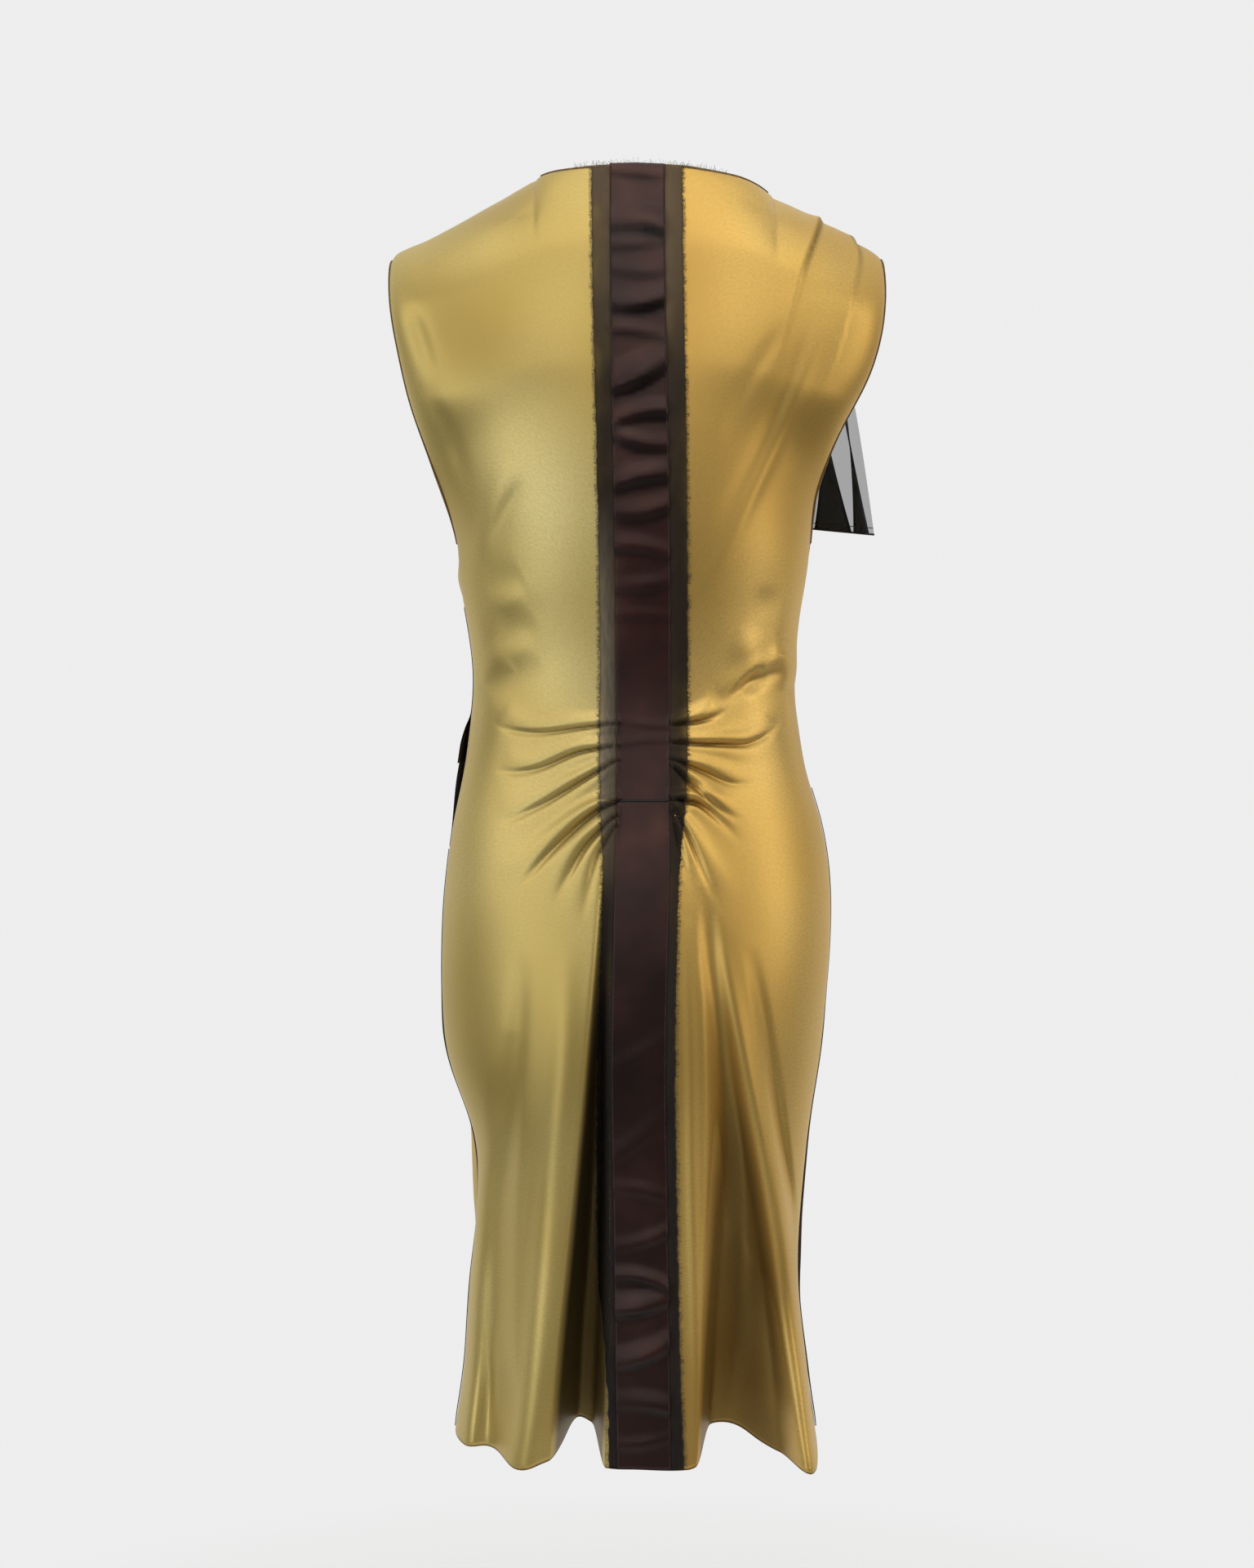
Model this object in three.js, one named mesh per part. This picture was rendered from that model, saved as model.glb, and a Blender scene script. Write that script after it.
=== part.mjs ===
// A sleeveless knee-length satin dress, hollow and filled out as it is worn, seen best from behind.
// Two back panels meet at the centre back under a sheer raw-edged strip and a satin ribbon.
// Gathers run out of both ribbon edges below the waist and open into the folds of the skirt.
// The front is one plain panel with a ribbon band at the waist and a sheer flounce at one armhole.
//
// Millimetres, +Z up. The wearer faces -Y, so the back is at +Y and the wearer's left is at +X.
// The origin lies between the two shoulders, where the wearer carries the dress.

import * as THREE from 'three';

// Cloth
const WALL = 1.4;
const TRIM_WALL = 1.0;
const SEAM_GAP = 0.3;
const LAYER_GAP = 0.35;
const EDGE_CORD_RADIUS = 1.2;

// Heights of the garment
const NAPE_Z = 26;
const NAPE_Y = 52;
const FRONT_NECK_Z = -34;
const FRONT_NECK_Y = 72;
const FRONT_NECK_SCOOP = 2.6;
const UNDERARM_Z = -260;
const UNDERARM_BLEND = 60;
const TIP_Z = -44;
const HEM_Z = -957;
const WAIST_SEAM_Z = -447;

// Plan shape
const ROUNDNESS = 2.3;
const SHOULDER_ROUNDING = 62;
const NECK_POINT = { left: 76, right: 102 };
const NECK_POINT_REACH = 2;
const NECK_BINDING_END = 4;

// Centre back trim
const RIBBON_HALF = 20.3;
const STRIP_HALF = [
  { z: 26, left: 35, right: 33 },
  { z: -216, left: 32, right: 34 },
  { z: -319, left: 32, right: 34 },
  { z: -430, left: 32, right: 33 },
  { z: -500, left: 29, right: 28 },
  { z: -640, left: 31, right: 27.5 },
  { z: -780, left: 33, right: 28 },
  { z: -830, left: 32, right: 28.5 },
  { z: -880, left: 27, right: 29 },
  { z: -957, left: 26, right: 31 },
];

// Half widths and depths of the worn form by height. Depths are at the centre back and front.
const FORM = [
  { z: 40, back: 50, front: 60 },
  { z: 26, back: 55, front: 62 },
  { z: -20, back: 74, front: 70 },
  { z: -70, back: 88, front: 82 },
  { z: -130, back: 96, front: 98 },
  { z: -190, back: 97, front: 108 },
  { z: -260, left: 137, right: 133, back: 91, front: 106 },
  { z: -280, left: 137, right: 131, back: 87, front: 101 },
  { z: -300, left: 134, right: 127.5, back: 83, front: 97 },
  { z: -320, left: 130.5, right: 124.5, back: 80, front: 93 },
  { z: -340, left: 127.5, right: 123, back: 77, front: 90 },
  { z: -360, left: 126, right: 121.5, back: 75, front: 88 },
  { z: -380, left: 127, right: 122.5, back: 76, front: 88 },
  { z: -400, left: 129.5, right: 125.5, back: 78, front: 89 },
  { z: -420, left: 132, right: 128.5, back: 82, front: 91 },
  { z: -440, left: 135.5, right: 133, back: 86, front: 93 },
  { z: -460, left: 140, right: 140, back: 91, front: 95 },
  { z: -480, left: 144, right: 145, back: 96, front: 97 },
  { z: -500, left: 146.5, right: 148.5, back: 101, front: 99 },
  { z: -530, left: 150, right: 151, back: 106, front: 101 },
  { z: -570, left: 152, right: 150.5, back: 110, front: 103 },
  { z: -610, left: 152, right: 147.5, back: 111, front: 103 },
  { z: -650, left: 149, right: 144, back: 109, front: 103 },
  { z: -680, left: 140, right: 139.5, back: 107, front: 102 },
  { z: -710, left: 129, right: 135, back: 106, front: 101 },
  { z: -740, left: 124.5, right: 132, back: 105, front: 101 },
  { z: -770, left: 124.5, right: 129, back: 105, front: 100 },
  { z: -800, left: 127, right: 126.5, back: 106, front: 100 },
  { z: -830, left: 131, right: 125.5, back: 107, front: 100 },
  { z: -860, left: 133.5, right: 128, back: 109, front: 100 },
  { z: -900, left: 136, right: 134, back: 111, front: 101 },
  { z: -930, left: 140, right: 138, back: 112, front: 103 },
  { z: -957, left: 144.5, right: 143, back: 113, front: 104 },
];

// The two armhole edges by height: x on either side of the back, and how far behind or in front.
const ARMHOLE = [
  { z: -260, left: 137, right: 133, front: 134, backY: 0, frontY: 0 },
  { z: -245, left: 139.5, right: 133, front: 137, backY: 16, frontY: 18 },
  { z: -231, left: 143.5, right: 133.5, front: 139, backY: 26, frontY: 28 },
  { z: -210, left: 151, right: 138.5, front: 142, backY: 35, frontY: 37 },
  { z: -187, left: 158, right: 146, front: 144, backY: 41, frontY: 43 },
  { z: -165, left: 166, right: 156, front: 147, backY: 45, frontY: 47 },
  { z: -140, left: 173, right: 170, front: 152, backY: 49, frontY: 48 },
  { z: -115, left: 178, right: 179, front: 159, backY: 51, frontY: 46 },
  { z: -90, left: 183, right: 184, front: 168, backY: 50, frontY: 43 },
  { z: -65, left: 186, right: 186, front: 179, backY: 48, frontY: 40 },
  { z: -44, left: 187, right: 186, front: 186.5, backY: 47, frontY: 40 },
];

// The upper outline of each half, from the centre of the neck down the shoulder seam to its tip.
const TOP_OUTLINE = [
  { x: 0, left: 24, right: 24 },
  { x: 34, left: 22.5, right: 22.5 },
  { x: 50, left: 21.5, right: 20.5 },
  { x: 66, left: 20, right: 18 },
  { x: 78, left: 17, right: 15.5 },
  { x: 90, left: 10.5, right: 11 },
  { x: 102, left: 3.5, right: 4.5 },
  { x: 115, left: -3.5, right: -1.5 },
  { x: 130, left: -12, right: -10 },
  { x: 145, left: -20, right: -17.5 },
  { x: 160, left: -27.5, right: -26 },
  { x: 175, left: -33.5, right: -33.5 },
  { x: 183, left: -38, right: -39 },
  { x: 187, left: -44, right: -44 },
];

// How the centre back line wanders off the middle.
const CENTRE_LINE = [
  { z: 26, x: -1 },
  { z: -92, x: 0 },
  { z: -216, x: -3 },
  { z: -319, x: -5 },
  { z: -447, x: -5 },
  { z: -640, x: -1 },
  { z: -765, x: -3 },
  { z: -957, x: -6 },
];

// The hem of the back, by x, and how far up the rows bend to follow it.
const HEM_LIFT_HEIGHT = 170;
const HEM_LINE = [
  { x: -147, z: -957 },
  { x: -138, z: -963 },
  { x: -128, z: -961 },
  { x: -112, z: -957 },
  { x: -95, z: -951 },
  { x: -80, z: -943 },
  { x: -65, z: -939 },
  { x: -55, z: -941 },
  { x: -46, z: -950 },
  { x: -38, z: -953 },
  { x: 0, z: -952 },
  { x: 24, z: -951 },
  { x: 32, z: -946 },
  { x: 42, z: -940 },
  { x: 50, z: -940 },
  { x: 58, z: -946 },
  { x: 70, z: -950 },
  { x: 88, z: -955 },
  { x: 110, z: -955 },
  { x: 128, z: -955 },
  { x: 145, z: -957 },
];

// Hollows of the skirt behind the general form. Each is a ramp down, a floor and a ramp up, by height.
const HOLLOWS = [
  {
    side: 1,
    rows: [
      { z: -480, from: 20, floorFrom: 23, floorTo: 24, to: 28, depth: 0 },
      { z: -565, from: 20, floorFrom: 25, floorTo: 26, to: 33, depth: 9 },
      { z: -660, from: 20, floorFrom: 27, floorTo: 30, to: 41, depth: 32 },
      { z: -790, from: 20.5, floorFrom: 29, floorTo: 36, to: 54, depth: 56 },
      { z: -880, from: 21, floorFrom: 32, floorTo: 42, to: 63, depth: 70 },
      { z: -957, from: 24, floorFrom: 36, floorTo: 45, to: 69, depth: 82 },
    ],
  },
  {
    side: -1,
    rows: [
      { z: -510, from: 42, floorFrom: 50, floorTo: 52, to: 62, depth: 0 },
      { z: -560, from: 44, floorFrom: 54, floorTo: 56, to: 67, depth: 4 },
      { z: -600, from: 48, floorFrom: 60, floorTo: 62, to: 74, depth: 6 },
      { z: -660, from: 50, floorFrom: 67, floorTo: 70, to: 86, depth: 12 },
      { z: -720, from: 50, floorFrom: 70, floorTo: 78, to: 98, depth: 20 },
      { z: -790, from: 49, floorFrom: 67, floorTo: 80, to: 112, depth: 31 },
      { z: -880, from: 46, floorFrom: 61, floorTo: 75, to: 126, depth: 48 },
      { z: -957, from: 44, floorFrom: 57, floorTo: 68, to: 134, depth: 66 },
    ],
  },
];

// Rounded waves of the skirt, by height: where the crest or trough runs, its half width and its rise.
const WAVES = [
  {
    side: 1,
    rows: [
      { z: -590, x: 50, half: 24, rise: 0 },
      { z: -700, x: 58, half: 26, rise: 3 },
      { z: -790, x: 66, half: 25, rise: 6 },
      { z: -880, x: 76, half: 24, rise: 9 },
      { z: -957, x: 88, half: 22, rise: 12 },
    ],
  },
  {
    side: 1,
    rows: [
      { z: -620, x: 96, half: 16, rise: 0 },
      { z: -700, x: 102, half: 17, rise: -4 },
      { z: -800, x: 107, half: 18, rise: -10 },
      { z: -957, x: 114, half: 21, rise: -22 },
    ],
  },
  {
    side: -1,
    rows: [
      { z: -550, x: 58, half: 15, rise: 0 },
      { z: -640, x: 78, half: 15, rise: 4 },
      { z: -720, x: 97, half: 16, rise: 8 },
      { z: -790, x: 110, half: 18, rise: 14 },
      { z: -880, x: 124, half: 21, rise: 28 },
      { z: -957, x: 136, half: 26, rise: 46 },
    ],
  },
  {
    side: -1,
    rows: [
      { z: -555, x: 84, half: 9, rise: 0 },
      { z: -620, x: 96, half: 9, rise: -3 },
      { z: -700, x: 108, half: 8, rise: -6 },
      { z: -760, x: 117, half: 7, rise: -6 },
      { z: -815, x: 122, half: 6, rise: 0 },
    ],
  },
];
const WAVE_SEAM_FADE = 0.35;

// How far the front swells past the side seams, by height, over this share of its roundness.
const SWELL_SHARE = 0.6;
const SIDE_SWELL = [
  { z: -262, left: 0, right: 0 },
  { z: -285, left: 5, right: 0 },
  { z: -310, left: 0, right: 0 },
  { z: -680, left: 0, right: 0 },
  { z: -705, left: 4.5, right: 0 },
  { z: -740, left: 9, right: 1 },
  { z: -775, left: 7.5, right: 3 },
  { z: -810, left: 0.5, right: 4 },
  { z: -840, left: 0, right: 2 },
  { z: -870, left: 0, right: 0 },
];

// Soft waves of the front hem.
const FRONT_WAVES = { top: -560, pitch: 92, depth: 9, growth: 1.5 };

// Gathers that leave the ribbon edges: the crease line in the back's own plane, and its depth.
const GATHERS = [
  { depth: 3.8, line: [[19, -390], [45, -393], [78, -399], [98, -396], [118, -386]] },
  { depth: 4.2, line: [[19, -407], [45, -414], [78, -423], [98, -420], [117, -408]] },
  { depth: 3.8, line: [[19, -423], [45, -438], [78, -453], [100, -464]] },
  { depth: 4.8, line: [[19, -449], [38, -463], [62, -481], [88, -505], [96, -516]] },
  { depth: 3.8, line: [[23, -462], [38, -477], [58, -498], [78, -522]] },
  { depth: 4.0, line: [[-26, -389], [-43, -387], [-58, -383], [-72, -373]] },
  { depth: 4.0, line: [[-26, -405], [-56, -406], [-88, -406], [-108, -393]] },
  { depth: 4.0, line: [[-26, -421], [-43, -425], [-64, -433], [-94, -434]] },
  { depth: 3.8, line: [[-30, -432], [-46, -442], [-62, -450], [-90, -451]] },
  { depth: 4.2, line: [[-26, -449], [-44, -451], [-64, -461], [-90, -475]] },
  { depth: 3.8, line: [[-28, -458], [-44, -473], [-58, -484], [-74, -492]] },
  { depth: 3.8, line: [[-27, -470], [-35, -487], [-48, -512], [-56, -532]] },
];
const GATHER_TROUGH = 3.6;
const GATHER_RIDGE = 5.2;
const GATHER_RIDGE_OFFSET = 8;
const GATHER_RIDGE_SHARE = 0.55;
const GATHER_FADE_FROM = 0.5;
const CREASE_START = { none: RIBBON_HALF - 4, full: RIBBON_HALF + 5 };

// Two tucks caught in the wearer's right shoulder seam. The side nearer the neck lies on top.
const TUCKS = [
  { step: 2.4, line: [[-141, -6], [-134, -24], [-127, -42], [-121, -60], [-110, -104]] },
  { step: 2.4, line: [[-157, -18], [-163, -28], [-166, -40], [-164, -56], [-152, -110]] },
];
const TUCK_EDGE = 2.0;
const TUCK_SPREAD = 17;
const TUCK_FADE_FROM = 0.3;

// Bust
const BUST = { x: 72, z: -208, rise: 17, halfWidth: 42, halfHeight: 50 };

// Front waist band and the sheer strip under it. Both flare off the sides at the band's lower edge.
const BAND_TOP = -306;
const BAND_BOTTOM = { left: -428, right: -421 };
const BAND_LEVELS = [-418, -408, -400, -389, -360, -332];
const BAND_STEP = { top: -389, bottom: -400 };
const BAND_FLARE = { left: 4.2, right: 2 };
const FLARE_HEIGHTS = { none: -384, full: -416, easing: -434, closed: -484 };
const FLARE_SHARPNESS = 6;
const UNDERLAY_TOP = -404;
const UNDERLAY_BOTTOM = { left: -492, right: -434 };
const UNDERLAY_ROWS = 6;

// Sheer flounce at the wearer's right front armhole
const FLOUNCE = {
  standOff: 1.8,
  flutes: 4,
  wave: 10,
  overlap: 0.13,
  overlapRise: 1.4,
  spread: 0.7,
  waveSpread: 0.8,
  columnsPerFlute: 12,
  rowCount: 6,
  topStart: { x: -106, z: -118 },
  topEnd: { x: -158, z: -100 },
  hemStart: { x: -104, y: -124, z: -243 },
  hemEnd: { x: -190, y: -70, z: -251 },
};

// Dark edging of the side seams: how far it lies behind the seam in radii, and its radius by height
const SIDE_EDGING_SET_BACK = 0.75;
const SIDE_EDGING = [
  { z: -440, left: 0.8, right: 0.8 },
  { z: -720, left: 0.8, right: 0.8 },
  { z: -780, left: 0.8, right: 1.4 },
  { z: -820, left: 0.8, right: 2.0 },
  { z: -860, left: 0.8, right: 1.0 },
  { z: -957, left: 0.8, right: 0.8 },
];

// Sideways puckers of the ribbon between the nape and the waist, as outward rise by height.
const PUCKERS = [
  { z: 2, rise: 0.7 },
  { z: -38, rise: 1.2 },
  { z: -66, rise: 0.8 },
  { z: -106, rise: 1.2 },
  { z: -146, rise: 1.0 },
  { z: -178, rise: 1.4 },
  { z: -212, rise: 1.1 },
  { z: -244, rise: 1.0 },
  { z: -278, rise: 0.8 },
];
const PUCKER_HALF = 9;

const SIDE_EDGING_TOP = { left: -494, right: -446 };

// Rows and columns of the panels
const SKIRT_LEVELS = [
  HEM_Z, -932, -905, -876, -846, -815, -785, -755, -726, -698, -670, -642, -614, -588, -564,
];
const GATHER_LEVELS = spacedLevels(-543, WAIST_SEAM_Z, 12).concat(spacedLevels(-438, -379, 8));
const WAIST_LEVELS = [-366, -352, -336, -318, -299, -280];
const BODICE_SHARES = [0, 0.12, 0.25, 0.38, 0.51, 0.63, 0.73, 0.81, 0.88, 0.935, 0.972, 0.992, 1];
const PANEL_FRACTIONS = [
  0.026, 0.053, 0.08, 0.109, 0.143, 0.183, 0.237, 0.3, 0.374, 0.456, 0.543, 0.639, 0.739, 0.849, 1,
];

// Where the panel columns run in the skirt, by x at the hem and at the hip, so that they follow the folds.
const SKIRT_COLUMNS = {
  left: {
    hem: { start: 26, x: [32, 37, 42, 47, 53, 59, 66, 74, 86, 99, 112, 124, 134, 141, 144.5] },
    hip: { start: 29, x: [30, 31, 32, 33, 34, 35.2, 36.6, 38.5, 46, 57, 73, 92, 114, 135, 152] },
  },
  right: {
    hem: { start: 31, x: [37, 44, 50, 57, 62, 68, 78, 90, 102, 114, 124, 131, 136, 140, 143] },
    hip: { start: 28, x: [34, 42, 48, 53, 57, 60, 63, 66, 70, 75, 82, 94, 110, 130, 149] },
  },
};
const HIP_Z = -600;
const SKIRT_TOP_Z = -440;
const FRONT_FRACTIONS = [0, 0.18, 0.36, 0.54, 0.72, 0.89, 1];
const EDGING_SIDES = 5;

function spacedLevels(from, to, count) {
  const levels = [];
  for (let i = 0; i < count; i += 1) {
    levels.push(from + ((to - from) * i) / (count - 1));
  }
  return levels;
}

function clamp(value, low, high) {
  return Math.min(high, Math.max(low, value));
}

function lerp(a, b, t) {
  return a + (b - a) * t;
}

function smoothstep(from, to, value) {
  const t = clamp((value - from) / (to - from), 0, 1);
  return t * t * (3 - 2 * t);
}

function bell(distance, width) {
  return Math.exp(-Math.pow(distance / width, 2));
}

// Smooth value of one column of a table at a place along another column.
function tableValue(table, along, column, at) {
  let rows = table.filter((row) => row[column] !== undefined);
  if (rows[0][along] > rows[rows.length - 1][along]) {
    rows = rows.reverse();
  }
  const last = rows.length - 1;
  if (at <= rows[0][along]) {
    return rows[0][column];
  }
  if (at >= rows[last][along]) {
    return rows[last][column];
  }
  let i = 0;
  while (rows[i + 1][along] < at) {
    i += 1;
  }
  const slope = (a, b) => (rows[b][column] - rows[a][column]) / (rows[b][along] - rows[a][along]);
  const span = rows[i + 1][along] - rows[i][along];
  const startSlope = slope(Math.max(i - 1, 0), i + 1);
  const endSlope = slope(i, Math.min(i + 2, last));
  const t = (at - rows[i][along]) / span;
  const t2 = t * t;
  const t3 = t2 * t;
  return (
    (2 * t3 - 3 * t2 + 1) * rows[i][column] +
    (t3 - 2 * t2 + t) * span * startSlope +
    (3 * t2 - 2 * t3) * rows[i + 1][column] +
    (t3 - t2) * span * endSlope
  );
}

function sideName(side) {
  return side > 0 ? 'left' : 'right';
}

// Half width of the form at a height: the armhole edge above the underarm, the side seam below.
function edgeX(face, side, z) {
  if (z <= UNDERARM_Z) {
    return tableValue(FORM, 'z', sideName(side), z);
  }
  if (face === 'back') {
    return tableValue(ARMHOLE, 'z', sideName(side), z);
  }
  const seam = tableValue(FORM, 'z', sideName(side), UNDERARM_Z);
  const below = 1 - smoothstep(UNDERARM_Z, UNDERARM_Z + UNDERARM_BLEND, z);
  const shift = (seam - ARMHOLE[0].front) * below;
  return tableValue(ARMHOLE, 'z', 'front', z) + shift;
}

function edgeY(face, z) {
  if (z <= UNDERARM_Z) {
    return 0;
  }
  return tableValue(ARMHOLE, 'z', face === 'back' ? 'backY' : 'frontY', z);
}

// How far the neckline lies behind or in front of the shoulder seam, at a distance from the middle.
function neckDepth(face, side, x) {
  const share = clamp(x / NECK_POINT[sideName(side)], 0, 1);
  const depth = face === 'back' ? NAPE_Y : FRONT_NECK_Y;
  return depth * Math.pow(1 - Math.pow(share, ROUNDNESS), 1 / ROUNDNESS);
}

function topHeight(face, side, x) {
  const outline = tableValue(TOP_OUTLINE, 'x', sideName(side), x);
  if (face === 'back') {
    return outline;
  }
  const share = clamp(x / NECK_POINT[sideName(side)], 0, 1);
  return lerp(FRONT_NECK_Z, outline, Math.pow(share, FRONT_NECK_SCOOP));
}

// Inward depth of the hollows and waves of the skirt, at a distance from the middle on one side.
function skirtFold(side, x, z, roundness) {
  let hollow = 0;
  for (const fold of HOLLOWS.filter((entry) => entry.side === side)) {
    const at = (column) => tableValue(fold.rows, 'z', column, z);
    const rampDown = smoothstep(at('from'), at('floorFrom'), x);
    const rampUp = smoothstep(at('floorTo'), at('to'), x);
    hollow += at('depth') * rampDown * (1 - rampUp);
  }
  let wave = 0;
  for (const fold of WAVES.filter((entry) => entry.side === side)) {
    const at = (column) => tableValue(fold.rows, 'z', column, z);
    const share = Math.abs(x - at('x')) / at('half');
    if (share < 1) {
      wave += at('rise') * Math.pow(Math.cos((share * Math.PI) / 2), 2);
    }
  }
  return hollow - wave * smoothstep(0, WAVE_SEAM_FADE, roundness);
}

function frontWave(x, z) {
  const { top, pitch, depth, growth } = FRONT_WAVES;
  const share = clamp((top - z) / (top - HEM_Z), 0, 1);
  return depth * Math.pow(share, growth) * Math.cos((2 * Math.PI * x) / pitch);
}

// Signed distance from a crease line and the share along it. Positive is left of its direction.
function creaseDistance(line, x, z) {
  let best = Infinity;
  let along = 0;
  let turn = 1;
  for (let i = 0; i + 1 < line.length; i += 1) {
    const [ax, az] = line[i];
    const dx = line[i + 1][0] - ax;
    const dz = line[i + 1][1] - az;
    const t = clamp(((x - ax) * dx + (z - az) * dz) / (dx * dx + dz * dz), 0, 1);
    const distance = Math.hypot(x - ax - t * dx, z - az - t * dz);
    if (distance < best) {
      best = distance;
      along = (i + t) / (line.length - 1);
      turn = Math.sign(dx * (z - az) - dz * (x - ax)) || 1;
    }
  }
  return { distance: best * turn, along };
}

// Rise of the back along its normal where gathers and tucks pass.
function creaseRise(x, z) {
  let rise = 0;
  for (const gather of GATHERS) {
    const { distance, along } = creaseDistance(gather.line, x, z);
    const fade = 1 - smoothstep(GATHER_FADE_FROM, 1, along);
    const ridgeAbove = bell(distance - GATHER_RIDGE_OFFSET, GATHER_RIDGE);
    const ridgeBelow = bell(distance + GATHER_RIDGE_OFFSET, GATHER_RIDGE);
    const profile = GATHER_RIDGE_SHARE * (ridgeAbove + ridgeBelow) - bell(distance, GATHER_TROUGH);
    rise += gather.depth * fade * profile;
  }
  for (const tuck of TUCKS) {
    const { distance, along } = creaseDistance(tuck.line, x, z);
    const onTop = smoothstep(-TUCK_EDGE, TUCK_EDGE, distance);
    const settled = Math.exp(-Math.max(0, distance) / TUCK_SPREAD);
    rise += tuck.step * (1 - smoothstep(TUCK_FADE_FROM, 1, along)) * onTop * settled;
  }
  const fromCentre = Math.abs(x - tableValue(CENTRE_LINE, 'z', 'x', z));
  return rise * smoothstep(CREASE_START.none, CREASE_START.full, fromCentre);
}

function stripHalf(side, z) {
  return tableValue(STRIP_HALF, 'z', sideName(side), z);
}

// Columns of a back panel outwards from the centre: under the trim, then across the panel.
const backColumns = [
  { offset: () => SEAM_GAP / 2 },
  { offset: () => RIBBON_HALF / 2 },
  { offset: () => RIBBON_HALF },
  { offset: (side, z) => (RIBBON_HALF + stripHalf(side, z)) / 2 },
  { offset: stripHalf },
  ...PANEL_FRACTIONS.map((fraction, i) => ({
    index: i,
    fraction,
    evenFraction: (i + 1) / PANEL_FRACTIONS.length,
    start: stripHalf,
  })),
];
const TRIM_COLUMNS = { ribbon: 3, strip: 5 };
const frontColumns = FRONT_FRACTIONS.map((fraction) => ({
  fraction,
  evenFraction: fraction,
  start: () => 0,
}));
const rows = []
  .concat(SKIRT_LEVELS, GATHER_LEVELS, WAIST_LEVELS)
  .map((z) => ({ z, share: 0 }))
  .concat(BODICE_SHARES.map((share) => ({ z: lerp(UNDERARM_Z, TIP_Z, share), share, bodice: true })));
const underarmRow = rows.length - BODICE_SHARES.length;
const topRow = rows.length - 1;

// The distance of a panel column from the middle, between its places at the hem, the hip and the waist.
function panelColumnX(side, index, z, upperX, halfWidth) {
  const start = stripHalf(side, z);
  const placed = (level) => {
    const { start: levelStart, x } = SKIRT_COLUMNS[sideName(side)][level];
    return lerp(start, halfWidth, (x[index] - levelStart) / (x[x.length - 1] - levelStart));
  };
  if (z >= SKIRT_TOP_Z) {
    return upperX;
  }
  if (z >= HIP_Z) {
    return lerp(placed('hip'), upperX, smoothstep(HIP_Z, SKIRT_TOP_Z, z));
  }
  return lerp(placed('hip'), placed('hem'), clamp((HIP_Z - z) / (HIP_Z - HEM_Z), 0, 1));
}

// One point of the form on one side. Rows below the underarm are level, those above follow the top edge.
function formPoint(face, side, row, column) {
  const halfWidth = edgeX(face, side, row.z);
  const tipX = edgeX(face, side, TIP_Z);
  const shape = row.share * row.share;
  let x;
  let topX;
  if (column.offset) {
    x = column.offset(side, row.z);
    topX = column.offset(side, NAPE_Z);
  } else {
    const start = column.start(side, row.z);
    const fraction = lerp(column.fraction, column.evenFraction, row.share);
    const startAngle = Math.asin(Math.pow(start / halfWidth, ROUNDNESS / 2));
    const angle = lerp(startAngle, Math.PI / 2, fraction);
    const round = halfWidth * Math.pow(Math.sin(angle), 2 / ROUNDNESS);
    x = lerp(round, lerp(start, halfWidth, fraction), shape);
    if (face === 'back') {
      x = panelColumnX(side, column.index, row.z, x, halfWidth);
    }
    topX = lerp(column.start(side, NAPE_Z), tipX, column.evenFraction);
  }
  const centre = face === 'back' ? tableValue(CENTRE_LINE, 'z', 'x', row.z) : 0;
  const px = side * x + centre * (1 - x / halfWidth);
  const top = topHeight(face, side, topX);
  let z = row.bodice ? lerp(UNDERARM_Z, top, row.share) : row.z;
  if (face === 'back') {
    const lift = tableValue(HEM_LINE, 'x', 'z', px) - HEM_Z;
    z += lift * (1 - smoothstep(HEM_Z, HEM_Z + HEM_LIFT_HEIGHT, row.z));
  }
  const roundness = Math.pow(Math.max(0, 1 - Math.pow(x / halfWidth, ROUNDNESS)), 1 / ROUNDNESS);
  let y = lerp(edgeY(face, row.z), tableValue(FORM, 'z', face, z), roundness);
  let swell = 0;
  if (face === 'back') {
    y -= skirtFold(side, Math.abs(px), z, roundness);
  } else {
    const bust = bell(x - BUST.x, BUST.halfWidth) * bell(z - BUST.z, BUST.halfHeight);
    const swellShape = Math.sin(Math.PI * clamp(roundness / SWELL_SHARE, 0, 1));
    y += BUST.rise * bust - frontWave(px, z) * roundness;
    swell = tableValue(SIDE_SWELL, 'z', sideName(side), z) * swellShape;
  }
  if (row.bodice) {
    const below = clamp((top - z) / SHOULDER_ROUNDING, 0, 1);
    y = lerp(neckDepth(face, side, topX), y, Math.sqrt(1 - Math.pow(1 - below, 2)));
  }
  const outward = face === 'back' ? 1 : -1;
  return new THREE.Vector3(px + side * swell, outward * (y + SEAM_GAP / 2), z);
}

// The direction of a line of points at one of them, halving the angle between its two steps.
function tangent(before, point, after) {
  const incoming = point.clone().sub(before).normalize();
  const outgoing = after.clone().sub(point).normalize();
  return incoming.add(outgoing);
}

// Unit normals of a grid whose columns run towards +X and rows upward. A seam holds them in its plane.
function gridNormals(grid, outward, seamPlane) {
  const lastRow = grid.length - 1;
  const lastColumn = grid[0].length - 1;
  return grid.map((points, r) =>
    points.map((point, c) => {
      const across = tangent(points[Math.max(c - 1, 0)], point, points[Math.min(c + 1, lastColumn)]);
      const up = tangent(grid[Math.max(r - 1, 0)][c], point, grid[Math.min(r + 1, lastRow)][c]);
      const normal = up.cross(across).multiplyScalar(outward);
      const plane = seamPlane(r, c, point);
      if (plane) {
        normal[plane] = 0;
      }
      return normal.normalize();
    }),
  );
}

function movedOut(grid, normals, distance) {
  return grid.map((points, r) =>
    points.map((point, c) => point.clone().addScaledVector(normals[r][c], distance(point, c))),
  );
}

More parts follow.
